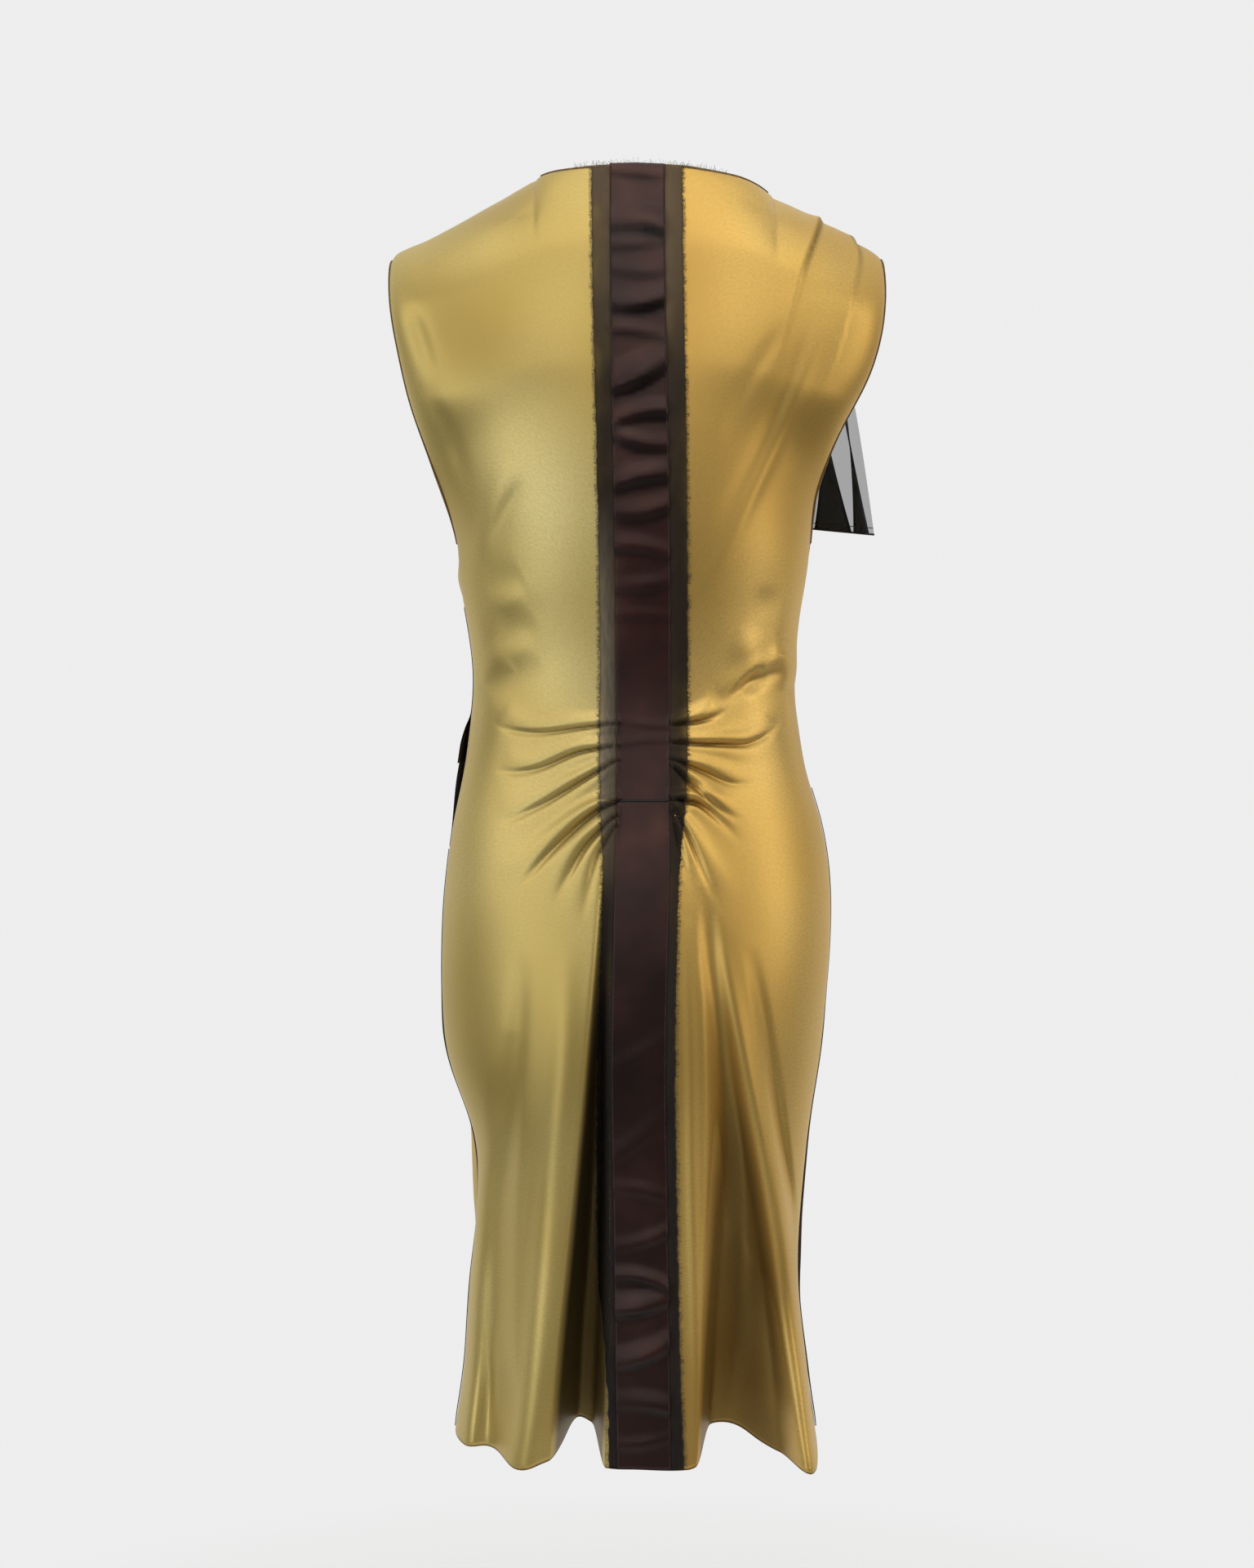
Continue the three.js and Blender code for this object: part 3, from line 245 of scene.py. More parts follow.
# Soft ridges and hollows of the bodice, the waist and the skirt: rise, half width, line as (x, z)
DRAPES = [
    (-2.0, 7, [(169, -80), (160, -106), (151, -135)]),
    (-1.8, 6, [(153, -149), (141, -171), (135, -191), (129, -215)]),
    (1.4, 8, [(91, -195), (104, -219), (114, -250), (120, -270)]),
    (-1.1, 6, [(83, -209), (96, -229), (111, -258)]),
    (-1.1, 12, [(116, -291), (87, -276)]),
    (-1.1, 12, [(108, -331), (77, -311)]),
    (-1.3, 12, [(112, -371), (71, -345)]),
    (1.2, 9, [(116, -306), (85, -291)]),
    (1.2, 9, [(116, -346), (79, -328)]),
    (-1.0, 6, [(-108, -96), (-92, -120), (-77, -146), (-64, -179)]),
    (1.8, 6, [(-134, -100), (-117, -148), (-99, -190), (-84, -222), (-69, -255), (-49, -288)]),
    (-1.2, 6, [(-124, -104), (-106, -150), (-88, -190), (-60, -240)]),
    (-0.8, 10, [(-100, -288), (-97, -312)]),
    (2.2, 13, [(-96, -342), (-70, -326)]),
    (-2.4, 5, [(-64, -378), (-84, -362), (-111, -351)]),
    (2.2, 7, [(-60, -368), (-86, -350), (-115, -338)]),
    (3.0, 9, [(-101, -330), (-113, -346), (-118, -366)]),
    (-3.0, 7, [(-78, -366), (-98, -354)]),
    (-1.8, 12, [(-56, -540), (-64, -620), (-69, -700), (-74, -790), (-78, -900)]),
    (3.0, 17, [(-60, -510), (-77, -600), (-95, -701), (-104, -760), (-120, -880), (-126, -950)]),
    (2.2, 4.5, [(-37, -540), (-40, -640), (-41, -720), (-43, -800), (-45, -880), (-46, -952)]),
    (3.0, 9, [(52, -560), (55, -640), (66, -740), (79, -884), (84, -950)]),
    (-2.5, 8, [(86, -560), (92, -650), (103, -760)]),
    (2.0, 8, [(106, -700), (117, -760), (125, -860)]),
    (-2.0, 5, [(96, -880), (97, -945)]),
    (1.8, 4, [(106, -860), (108, -945)]),
    (-1.8, 4, [(114, -890), (116, -948)]),
]

# Puckers of the ribbon: height of the dark underside at the middle, its slant and bow from one edge to the
# other, the rise of the bulge above it, how far it reaches up, and where it is fullest across, -1 to 1
PUCKERS = table(
    "z slant bow rise reach full",
    (14, 2, 1, 1.2, 12, 0), (-26, 2, -2, 3.4, 22, -0.6), (-39, -2, 1, 1.4, 10, 0.4),
    (-60, 1, 2, 1.2, 12, 0), (-85, -2, 3, 3.4, 17, -0.3), (-103, 3, -2, 1.4, 10, 0.5),
    (-139, -9, 3, 4.6, 26, 0), (-163, -4, -3, 3.0, 14, -0.5), (-185, 4, 3, 2.4, 14, 0.3),
    (-210, -4, -2, 3.2, 17, 0), (-236, -3, 3, 2.2, 15, -0.4), (-261, 3, -2, 2.0, 14, 0.4),
    (-290, -2, 2, 1.4, 14, 0), (-310, 1, -1, 0.8, 9, 0), (-392, 2, 1, 0.3, 8, -0.3),
    (-404, -2, -1, 0.3, 8, 0.2), (-640, -12, 2, 0.8, 18, 0), (-705, -16, 3, 1.1, 22, 0.3),
    (-742, 4, -2, 1.4, 14, 0), (-782, -6, 2, 1.8, 14, -0.4), (-808, 4, -3, 3.0, 12, 0),
    (-832, -4, 2, 4.2, 20, 0.3), (-870, -7, 3, 3.6, 20, 0), (-905, 2, -2, 2.6, 18, -0.3),
    (-935, -3, 2, 1.6, 12, 0.2),
)
PUCKER_WIDTH = 0.8
PUCKER_CREST = 0.25
PUCKER_RISE_ACROSS = (0.7, 1.4)
PUCKER_UNDERSIDE = (-3.0, 1.8)
# Painted shade under each pucker: how dark it is at the edges and where the pucker is fullest, how far
# below the underside it lies, its narrowest width, the rise at which it is darkest and how much it widens
# with the rise.
PUCKER_SHADE_ACROSS = (0.6, 1.0)
PUCKER_SHADE_BELOW = 1.8
PUCKER_SHADE_NARROWEST = 1.8
PUCKER_SHADE_FULL = 2.8
PUCKER_SHADE_SPREAD = 1.1
# How much darker the whole lower length of the ribbon is, and the heights between which it darkens
LOWER_RIBBON_SHADE = 0.42
LOWER_RIBBON_HEIGHTS = (-620, -470)

# Front waist band and the sheer piece under it, both flared off the sides
BAND_TOP = -306
BAND_BOTTOM = {1: -428, -1: -421}
BAND_STEP_TOP = -389
BAND_STEP_BOTTOM = -400
BAND_FLARE = {1: 4.2, -1: 2.0}
FLARE_SHARPNESS = 6
FLARE_NONE = -384
FLARE_FULL = -416
FLARE_EASING = -434
FLARE_CLOSED = -484
UNDERLAY_TOP = -404
UNDERLAY_BOTTOM = {1: -492, -1: -434}
LAYER_OFF = 0.4
LAYER_FIRST_COLUMN = 7
BAND_OVER_UNDERLAY = 1.2
BAND_ROWS = 41
BAND_CROWDING = 0.2
UNDERLAY_ROWS = 25

# Dark edging of the side seams: radius by height. Where the right one swells, from about -780 to -860, it
# is partly edging and partly painted shadow of the front's edge beyond it.
SIDE_EDGING_SET_BACK = 0.75
SIDE_EDGING_TOP = {1: -494, -1: -446}
SIDE_EDGING = table(
    "z left right",
    (-440, 0.35, 0.35), (-600, 0.4, 0.35), (-640, 0.8, 0.6), (-720, 0.8, 0.8), (-780, 0.45, 1.4),
    (-820, 0.4, 2.0), (-860, 0.4, 1.0), (-957, 0.4, 0.4),
)

# Sheer flounce: rounded flutes from a short seam on the front to a free lower edge
FLOUNCE_FLUTES = 4
FLOUNCE_WAVE = 10
FLOUNCE_OVERLAP = (0.5, 0.9, 0.5, 0.5)
FLOUNCE_OVERLAP_RISE = 1.4
FLOUNCE_SPREAD = 0.7
FLOUNCE_WAVE_SPREAD = 0.8
FLOUNCE_STAND_OFF = 1.8
FLOUNCE_COLUMNS = 44
FLOUNCE_ROWS = 60
FLOUNCE_SEAM_POINTS = 40
FLOUNCE_UV_HEIGHT = 0.15
FLOUNCE_TOP = {"start": (-106, -118), "end": (-158, -100)}
FLOUNCE_HEM = {"start": (-104, -124, -243), "end": (-190, -70, -251)}


def lerp(a, b, t):
    return a + (b - a) * t


def smoothstep(low, high, at):
    t = np.clip((at - low) / (high - low), 0, 1)
    return t * t * (3 - 2 * t)


def bell(distance, width):
    return np.exp(-np.square(distance / width))


def unit(vectors):
    length = np.linalg.norm(vectors, axis=-1, keepdims=True)
    return vectors / np.maximum(length, 1e-12)


def value(tab, column, at, along="z"):
    """Smooth value of one column of a table at places along another column."""
    keep = ~np.isnan(tab[column])
    places = tab[along][keep]
    values = tab[column][keep]
    if places[0] > places[-1]:
        places = places[::-1]
        values = values[::-1]
    slopes = np.empty_like(values)
    slopes[1:-1] = (values[2:] - values[:-2]) / (places[2:] - places[:-2])
    slopes[0] = (values[1] - values[0]) / (places[1] - places[0])
    slopes[-1] = (values[-1] - values[-2]) / (places[-1] - places[-2])
    at = np.clip(at, places[0], places[-1])
    i = np.clip(np.searchsorted(places, at, side="right") - 1, 0, len(places) - 2)
    span = places[i + 1] - places[i]
    t = (at - places[i]) / span
    start = (2 * t**3 - 3 * t**2 + 1) * values[i] + (t**3 - 2 * t**2 + t) * span * slopes[i]
    end = (3 * t**2 - 2 * t**3) * values[i + 1] + (t**3 - t**2) * span * slopes[i + 1]
    return start + end


# The worn form

def edge_x(face, side, z):
    name = SIDE_NAMES[side]
    if face == "back":
        armhole = value(ARMHOLE, name, z)
    else:
        below = 1 - smoothstep(UNDERARM_Z, UNDERARM_Z + UNDERARM_BLEND, z)
        shift = value(FORM, name, UNDERARM_Z) - ARMHOLE["front"][0]
        armhole = value(ARMHOLE, "front", z) + shift * below
    return np.where(z <= UNDERARM_Z, value(FORM, name, z), armhole)


def half_width(face, side, z):
    """Distance of the edge from the middle, evened out over 30 mm of height."""
    return sum(edge_x(face, side, z + shift) for shift in EDGE_EVENING) / len(EDGE_EVENING)


def form_depth(face, z):
    """Depth of the form at the middle, evened out over 60 mm of height for soft reflections."""
    return sum(value(FORM, face, z + shift) for shift in DEPTH_EVENING) / len(DEPTH_EVENING)


def edge_depth(face, z):
    return np.where(z <= UNDERARM_Z, 0, value(ARMHOLE, face + "_y", z))


def neck_depth(face, side, x):
    share = np.clip(x / NECK_POINT[side], 0, 1)
    depth = NAPE_Y if face == "back" else FRONT_NECK_Y
    return depth * (1 - share**ROUNDNESS) ** (1 / ROUNDNESS)


def top_height(face, side, x):
    outline = value(TOP_OUTLINE, SIDE_NAMES[side], x, along="x")
    if face == "back":
        return outline
    share = np.clip(x / NECK_POINT[side], 0, 1)
    return lerp(FRONT_NECK_Z, outline, share**FRONT_NECK_SCOOP)


def hollow_depth(side, x, z):
    fold = HOLLOWS[side]
    ramp_down = smoothstep(value(fold, "start", z), value(fold, "floor_start", z), x)
    ramp_up = smoothstep(value(fold, "floor_end", z), value(fold, "end", z), x)
    return value(fold, "depth", z) * ramp_down * (1 - ramp_up)


def skirt_fold(side, x, z, roundness):
    """Inward depth of the hollows and waves of the skirt."""
    depth = hollow_depth(side, x, z)
    fade = smoothstep(0, WAVE_SEAM_FADE, roundness)
    for wave in WAVES[side]:
        share = np.clip(np.abs(x - value(wave, "x", z)) / value(wave, "half", z), 0, 1)
        depth -= value(wave, "rise", z) * np.cos(share * math.pi / 2) ** 2 * fade
    return depth


def form_points(face, side, x, row_z, share):
    """Points of one side of the form, at distances x from the middle, in rows of the cloth."""
    half = half_width(face, side, row_z)
    tip = half_width(face, side, np.array(float(TIP_Z)))
    across = np.clip(x / half, 0, 1)
    centre = value(CENTRE_LINE, "x", row_z) if face == "back" else 0.0
    px = side * x + centre * (1 - across)
    top_x = across * tip
    top = top_height(face, side, top_x)
    z = np.where(share > 0, lerp(UNDERARM_Z, top, share), row_z)
    if face == "back":
        lift = value(HEM_LINE, "z", px, along="x") - HEM_Z
        z = z + lift * (1 - smoothstep(HEM_Z, HEM_Z + HEM_LIFT_HEIGHT, row_z))
    roundness = (1 - across**ROUNDNESS) ** (1 / ROUNDNESS)
    near_edge = (1 - roundness) ** lerp(UNDERARM_EASE, 1, smoothstep(0, UNDERARM_EASED, share))
    y = form_depth(face, z) * roundness + edge_depth(face, row_z) * near_edge
    swell = 0.0
    if face == "back":
        y = y - skirt_fold(side, np.abs(px), z, roundness)
    else:
        bust = bell(x - BUST["x"], BUST["half_width"]) * bell(z - BUST["z"], BUST["half_height"])
        waviness = np.clip((FRONT_WAVE_TOP - z) / (FRONT_WAVE_TOP - HEM_Z), 0, 1) ** FRONT_WAVE_GROWTH
        wave = FRONT_WAVE_DEPTH * waviness * np.cos(2 * math.pi * px / FRONT_WAVE_PITCH)
        y = y + BUST["rise"] * bust - wave * roundness
        swell_shape = np.sin(math.pi * np.clip(roundness / SWELL_SHARE, 0, 1))
        swell = value(SIDE_SWELL, SIDE_NAMES[side], z) * swell_shape
    below = np.clip((top - z) / SHOULDER_ROUNDING, 0, 1)
    shoulder = lerp(neck_depth(face, side, top_x), y, np.sqrt(1 - (1 - below) ** 2))
    y = np.where(share > 0, shoulder, y)
    outward = 1 if face == "back" else -1
    return np.stack([px + side * swell, outward * (y + SEAM_GAP / 2), z], axis=-1)


def near_line(line, x, z):
    """Signed distance from a line and the share along it. Positive is left of its direction."""
    best = np.full(x.shape, np.inf)
    along = np.zeros(x.shape)
    turn = np.ones(x.shape)
    for i, ((ax, az), (bx, bz)) in enumerate(zip(line[:-1], line[1:])):
        dx = bx - ax
        dz = bz - az
        t = np.clip(((x - ax) * dx + (z - az) * dz) / (dx * dx + dz * dz), 0, 1)
        distance = np.hypot(x - ax - t * dx, z - az - t * dz)
        closer = distance < best
        best = np.where(closer, distance, best)
        along = np.where(closer, (i + t) / (len(line) - 1), along)
        turn = np.where(closer, np.where(dx * (z - az) - dz * (x - ax) < 0, -1, 1), turn)
    return best * turn, along


def smooth_line(line, steps=6):
    """A line's points with a smooth curve through them."""
    points = np.array(line, float)
    tab = {"s": np.arange(len(points), dtype=float), "x": points[:, 0], "z": points[:, 1]}
    at = np.linspace(0, len(points) - 1, (len(points) - 1) * steps + 1)
    return list(zip(value(tab, "x", at, "s"), value(tab, "z", at, "s")))


def crease_rise(x, z):
    """Rise of the back along its normal where gathers, tucks and soft folds pass."""
    rise = np.zeros(x.shape)
    for depth, line in GATHERS:
        distance, along = near_line(smooth_line(line), x, z)
        above = distance * math.copysign(1, line[-1][0])
        fade = 1 - smoothstep(GATHER_FADE_FROM, 1, along)
        offset = lerp(*GATHER_FOLD_OFFSET, along)
        width = lerp(*GATHER_FOLD, along)
        folds = GATHER_FOLD_SHARE * bell(above - offset, width)
        folds = folds + GATHER_LOWER_SHARE * bell(above + offset, width)
        trough = GATHER_TROUGH_DEPTH * bell(distance, lerp(*GATHER_TROUGH, along))
        rise += depth * fade * (folds - trough)
    for step, line in TUCKS:
        distance, along = near_line(smooth_line(line), x, z)
        easing = np.exp(-np.maximum(0, distance) / TUCK_SPREAD)
        on_top = smoothstep(-TUCK_EDGE, TUCK_EDGE, distance) * easing
        rise += step * (1 - smoothstep(TUCK_FADE_FROM, 1, along)) * on_top
    for height, width, line in DRAPES:
        distance, along = near_line(smooth_line(line), x, z)
        ends = np.sin(math.pi * lerp(*DRAPE_ENDS, along))
        rise += height * ends * bell(distance, width)
    from_centre = np.abs(x - value(CENTRE_LINE, "x", z))
    return rise * smoothstep(CREASE_NONE, CREASE_FULL, from_centre)


def painted_fold_shade(x, z):
    """Painted shade of the gathers, the tucks and the hollows of the skirt: how deep in them each point of
    the back lies, 0 to 1.
    """
    shade = np.zeros(x.shape)
    for depth, line in GATHERS:
        distance, along = near_line(smooth_line(line), x, z)
        fade = min(1, depth / GATHER_SHADE_FULL) * (1 - smoothstep(*GATHER_SHADE_FADE, along))
        width = lerp(*GATHER_SHADE, along) * max(1, depth / GATHER_SHADE_FULL)
        shade = np.maximum(shade, fade * bell(distance, width))
    for _, line in TUCKS:
        distance, along = near_line(smooth_line(line), x, z)
        fade = TUCK_SHADE * (1 - smoothstep(*TUCK_SHADE_FADE, along))
        shade = np.maximum(shade, fade * bell(distance + TUCK_SHADE_BELOW, TUCK_SHADE_WIDTH))
    for side in (1, -1):
        depth = hollow_depth(side, np.maximum(side * x, 0), z)
        shade = np.maximum(shade, HOLLOW_SHADE[side] * smoothstep(*HOLLOW_SHADE_DEPTH, depth))
    return shade


# Grids of points

# Rows are finest over the gathers, between these two pairs of heights, and near the shoulder, from this
# share of the bodice up
FINE_FROM = (-600, -550)
FINE_TO = (-372, -340)
FINE_SHOULDER = 0.85


def stepped(low, high, step):
    """Values from low to high with a spacing that step gives at each of them."""
    places = np.linspace(low, high, 2000)
    counted = np.concatenate([[0], np.cumsum(np.diff(places) / step((places[1:] + places[:-1]) / 2))])
    count = int(round(counted[-1])) + 1
    return np.interp(np.linspace(0, counted[-1], count), counted, places)


def cloth_rows(fine_step, coarse_step):
    """Rows of the cloth: their heights at the side and their share of the way up the bodice."""
    def skirt_step(z):
        gathers = smoothstep(*FINE_FROM, z) * (1 - smoothstep(*FINE_TO, z))
        return lerp(coarse_step, fine_step, gathers)

    def bodice_step(share):
        shoulder = smoothstep(FINE_SHOULDER, 1, share)
        return lerp(coarse_step, fine_step, shoulder) / (NAPE_Z - UNDERARM_Z)

    skirt = stepped(HEM_Z, UNDERARM_Z, skirt_step)
    bodice = stepped(0, 1, bodice_step)[1:]
    row_z = np.concatenate([skirt, lerp(UNDERARM_Z, TIP_Z, bodice)])
    share = np.concatenate([np.zeros(len(skirt)), bodice])
    return row_z[:, None], share[:, None]


def run_lengths(grid, axis):
    """Lengths along the cloth from the first column or row of a grid, in millimetres."""
    steps = np.linalg.norm(np.diff(grid, axis=axis), axis=-1).cumsum(axis=axis)
    return np.insert(steps, 0, 0, axis=axis)


def even_columns(face, side, row_z, share, fractions):
    """Distances from the middle for each row, spaced by length along the cloth."""
    half = half_width(face, side, row_z)
    start = SEAM_GAP / 2 if face == "back" else 0
    turn = np.linspace(0, math.pi / 2, 901)[None, :]
    distance = start + (half - start) * np.sin(turn) ** (2 / ROUNDNESS)
    length = run_lengths(form_points(face, side, distance, row_z, share), 1)
    return np.array([np.interp(fractions * run[-1], run, x) for run, x in zip(length, distance)])


def grid_normals(grid, outward):
    def direction(axis):
        step = unit(np.diff(grid, axis=axis))
        first = np.take(step, [0], axis=axis)
        last = np.take(step, [-1], axis=axis)
        return np.concatenate([first, step], axis=axis) + np.concatenate([step, last], axis=axis)

    return unit(np.cross(direction(0), direction(1)) * outward)


# Meshes

def set_uv(mesh, uv):
    """Gives each corner of a mesh the UV of its point."""
    corners = np.empty(len(mesh.loops), int)
    mesh.loops.foreach_get("vertex_index", corners)
    layer = mesh.uv_layers.get("UVMap") or mesh.uv_layers.new(name="UVMap")
    layer.data.foreach_set("uv", uv[corners].ravel())


def mesh_piece(name, points, faces, uv=None, flat_faces=0):
    """A piece from points in millimetres and faces. The last flat_faces faces are shaded flat."""
    mesh = bpy.data.meshes.new(name)
    mesh.from_pydata((np.asarray(points) * MM).tolist(), [], faces)
    smooth = np.ones(len(mesh.polygons), bool)
    if flat_faces:
        smooth[-flat_faces:] = False
    mesh.polygons.foreach_set("use_smooth", smooth)
    if uv is not None:
        set_uv(mesh, uv * MM)
    mesh.update()
    piece = bpy.data.objects.new(name, mesh)
    bpy.context.scene.collection.objects.link(piece)
    return piece


def grid_faces(rows, columns, first=0):
    index = first + np.arange(rows * columns).reshape(rows, columns)
    quads = np.stack([index[:-1, :-1], index[1:, :-1], index[1:, 1:], index[:-1, 1:]], axis=-1)
    return quads.reshape(-1, 4)


def shell(name, outer, inner):
    """A closed thin sheet between two grids of the same size."""
    rows, columns = outer.shape[:2]
    size = rows * columns
    front = grid_faces(rows, columns)
    back = grid_faces(rows, columns, size)[:, ::-1]
    index = np.arange(size).reshape(rows, columns)
    loop = np.concatenate([index[0, :-1], index[:-1, -1], index[-1, :0:-1], index[:0:-1, 0]])
    after = np.roll(loop, -1)
    rim = np.stack([loop, after, after + size, loop + size], axis=-1)
    faces = np.concatenate([front, back, rim])
    points = np.concatenate([outer.reshape(-1, 3), inner.reshape(-1, 3)])
    a, b, c, d = (points[faces[:, i]] for i in range(4))
    if (np.cross(b, c) * a).sum() + (np.cross(c, d) * a).sum() < 0:
        faces = faces[:, ::-1]
    uv = np.stack([run_lengths(outer, 1), run_lengths(outer, 0)], axis=-1).reshape(-1, 2)
    return mesh_piece(name, points, faces.tolist(), np.concatenate([uv, uv]), len(rim))


def shaded(piece, amounts):
    """Stores on both faces of a shell the painted shade of each of its points, by how deep in a fold it
    lies.
    """
    layer = piece.data.attributes.new("painted_fold_shade", "FLOAT", "POINT")
    layer.data.foreach_set("value", np.concatenate([amounts.ravel(), amounts.ravel()]))
    return piece


def tubes(name, lines, radii, sides, reference):
    """Round strands, one for each line of points, closed at both ends."""
    lines = np.asarray(lines, float)
    count, steps = lines.shape[:2]
    radii = np.broadcast_to(radii, (count, steps))[..., None]
    along = unit(np.gradient(lines, axis=1))
    a = unit(np.cross(along, np.broadcast_to(np.asarray(reference, float), lines.shape)))
    b = np.cross(along, a)
    rings = []
    for k in range(sides):
        angle = 2 * math.pi * k / sides
        rings.append(lines + radii * (a * math.cos(angle) + b * math.sin(angle)))
    points = np.stack(rings, axis=2).reshape(-1, 3)
    index = np.arange(count * steps * sides).reshape(count, steps, sides)
    after = np.roll(index, -1, axis=2)
    quads = np.stack([index[:, :-1], after[:, :-1], after[:, 1:], index[:, 1:]], axis=-1).reshape(-1, 4)
    faces = quads.tolist() + index[:, 0, ::-1].tolist() + index[:, -1].tolist()
    length = run_lengths(lines, 1)[..., None]
    uv = np.stack(np.broadcast_arrays(np.arange(sides) * 1.0, length), axis=-1)
    return mesh_piece(name, points, faces, uv.reshape(-1, 2))


# Materials

def linear(colour):
    """A display colour of 0 to 255 as the shader's linear one."""
    c = np.array(colour, float) / 255
    return tuple(np.where(c <= 0.04045, c / 12.92, ((c + 0.055) / 1.055) ** 2.4)) + (1.0,)


class Nodes:
    """The node tree of a material or a world, with calls that add nodes to it."""

    def __init__(self, holder):
        holder.use_nodes = True
        self.tree = holder.node_tree

    def feed(self, socket, amount):
        """Links an output to a socket, or sets the socket to an amount."""
        if isinstance(amount, bpy.types.NodeSocket):
            self.tree.links.new(amount, socket)
        else:
            socket.default_value = amount

    def add(self, kind, inputs, **settings):
        """Adds a node with its settings, feeds its inputs by name or number and returns its outputs."""
        node = self.tree.nodes.new("ShaderNode" + kind)
        for name, setting in settings.items():
            setattr(node, name, setting)
        for socket, amount in inputs.items():
            self.feed(node.inputs[socket], amount)
        return node.outputs

    def range(self, amount, low, high, to_low, to_high, **settings):
        ends = {"From Min": low, "From Max": high, "To Min": to_low, "To Max": to_high}
        return self.add("MapRange", {"Value": amount, **ends}, **settings)["Result"]

    def maths(self, operation, first, second=0.0):
        return self.add("Math", {0: first, 1: second}, operation=operation)["Value"]


class Look(Nodes):
    """A material. Keywords set the shader's own sockets, with _ for each space of a name."""

    def __init__(self, name, roughness, **sockets):
        self.material = bpy.data.materials.new(name)
        super().__init__(self.material)
        self.shader = self.tree.nodes["Principled BSDF"].inputs
        self.shader["Roughness"].default_value = roughness
        for socket, amount in sockets.items():
            self.shader[socket.replace("_", " ")].default_value = amount

    def give(self, socket, output):
        self.feed(self.shader[socket], output)

    def scaled(self, vector, scale):
        return self.add("Mapping", {"Vector": vector, "Scale": scale})["Vector"]

    def uv(self, across, along):
        return self.scaled(self.add("UVMap", {}, uv_map="UVMap")["UV"], (across, along, 1))

    def place(self, x, y, z):
        return self.scaled(self.add("TexCoord", {})["Object"], (x, y, z))

    def noise(self, vector, scale, detail):
        return self.add("TexNoise", {"Vector": vector, "Scale": scale, "Detail": detail})["Fac"]

    def wave(self, direction, scale, distortion):
        inputs = {"Vector": self.uv(1, 1), "Scale": scale, "Distortion": distortion}
        return self.add("TexWave", inputs, bands_direction=direction)["Fac"]

    def ramp(self, amount, *stops):
        """Colours along an amount, as (place, display colour) stops."""
        surface_colour = self.add("ValToRGB", {"Fac": amount})["Color"]
        elements = surface_colour.node.color_ramp.elements
        while len(elements) < len(stops):
            elements.new(0.5)
        for element, (place, colour) in zip(elements, stops):
            element.position = place
            element.color = linear(colour)
        return surface_colour

    def mix(self, share, first, second):
        """A colour output blended towards a display colour."""
        return self.add("Mix", {"Factor": share, 6: first, 7: linear(second)}, data_type="RGBA")[2]

    # The painted shade stored on each point, 0 to 1.
    def painted_fold_shade(self):
        return self.add("Attribute", {}, attribute_name="painted_fold_shade")["Fac"]

    def bump(self, height, strength, distance):
        inputs = {"Height": height, "Strength": strength, "Distance": distance}
        self.give("Normal", self.add("Bump", inputs)["Normal"])

    def plain_weave(self):
        """Raises the crossed threads of a sheer plain weave."""
        warp = self.wave("X", 700.0, 0.6)
        weft = self.wave("Y", 700.0, 0.6)
        self.bump(self.maths("MULTIPLY", warp, weft), 0.3, 0.0003)


def satin(name, dark, base, pale, metallic):
    """Smooth silk satin: fine lengthwise floats, a soft broad gloss, a slightly uneven dye and painted
    shade in its folds.
    """
    look = Look(name, 0.42, Metallic=metallic, Specular_IOR_Level=0.7, Anisotropic=0.4)
    broad = look.noise(look.place(1, 1, 0.6), 9.0, 1.0)
    weft = look.noise(look.uv(60, 2200), 1.0, 2.0)
    grain = look.noise(look.uv(1500, 2600), 1.0, 2.0)
    slubs = look.noise(look.uv(380, 560), 1.0, 4.0)
    surface_colour = look.ramp(broad, (0.3, dark), (0.55, base), (0.75, pale))
    surface_colour = look.mix(look.range(slubs, 0.35, 0.65, 0.0, 0.42), surface_colour, dark)
    surface_colour = look.mix(look.range(weft, 0.35, 0.65, 0.0, 0.12), surface_colour, dark)
    # Painted shade: the colour darkens towards this brown where a point lies deep in a gather, a tuck or a
    # hollow.
    look.give("Base Color", look.mix(look.painted_fold_shade(), surface_colour, (62, 38, 12)))
    look.give("Roughness", look.range(grain, 0.3, 0.7, 0.42, 0.52))
    look.bump(look.maths("ADD", grain, look.maths("MULTIPLY", weft, 0.8)), 0.12, 0.0003)
    return look.material


def ribbon_look(name, dark, base, pale):
    """Brown satin ribbon with a fine crosswise rib, darkened by painted shade under its puckers."""
    look = Look(name, 0.36, Specular_IOR_Level=0.4, Metallic=0.35)
    patches = look.noise(look.place(1, 1, 1), 22.0, 2.0)
    rib = look.wave("Y", 900.0, 1.0)
    threads = look.noise(look.uv(2400, 300), 1.0, 2.0)
    surface_colour = look.ramp(patches, (0.3, dark), (0.55, base), (0.8, pale))
    # Darkens towards near black: painted shade under the puckers, and an even darkening of the lower length
    # of the ribbon.
    look.give("Base Color", look.mix(look.painted_fold_shade(), surface_colour, (10, 5, 4)))
    look.give("Roughness", look.range(threads, 0.3, 0.7, 0.34, 0.44))
    look.bump(look.maths("ADD", rib, threads), 0.15, 0.00025)
    return look.material


def underlay_look():
    """Dark sheer weave under the waist band, of an uneven dye and more open in places."""
    look = Look("sheer_underlay", 0.75, Specular_IOR_Level=0.3)
    patches = look.noise(look.place(1, 1, 0.5), 26.0, 3.0)
    surface_colour = look.ramp(patches, (0.3, (26, 24, 20)), (0.52, (38, 35, 28)), (0.72, (52, 48, 36)))
    look.give("Base Color", surface_colour)
    look.give("Alpha", look.range(patches, 0.35, 0.75, 0.97, 0.85))
    look.plain_weave()
    return look.material


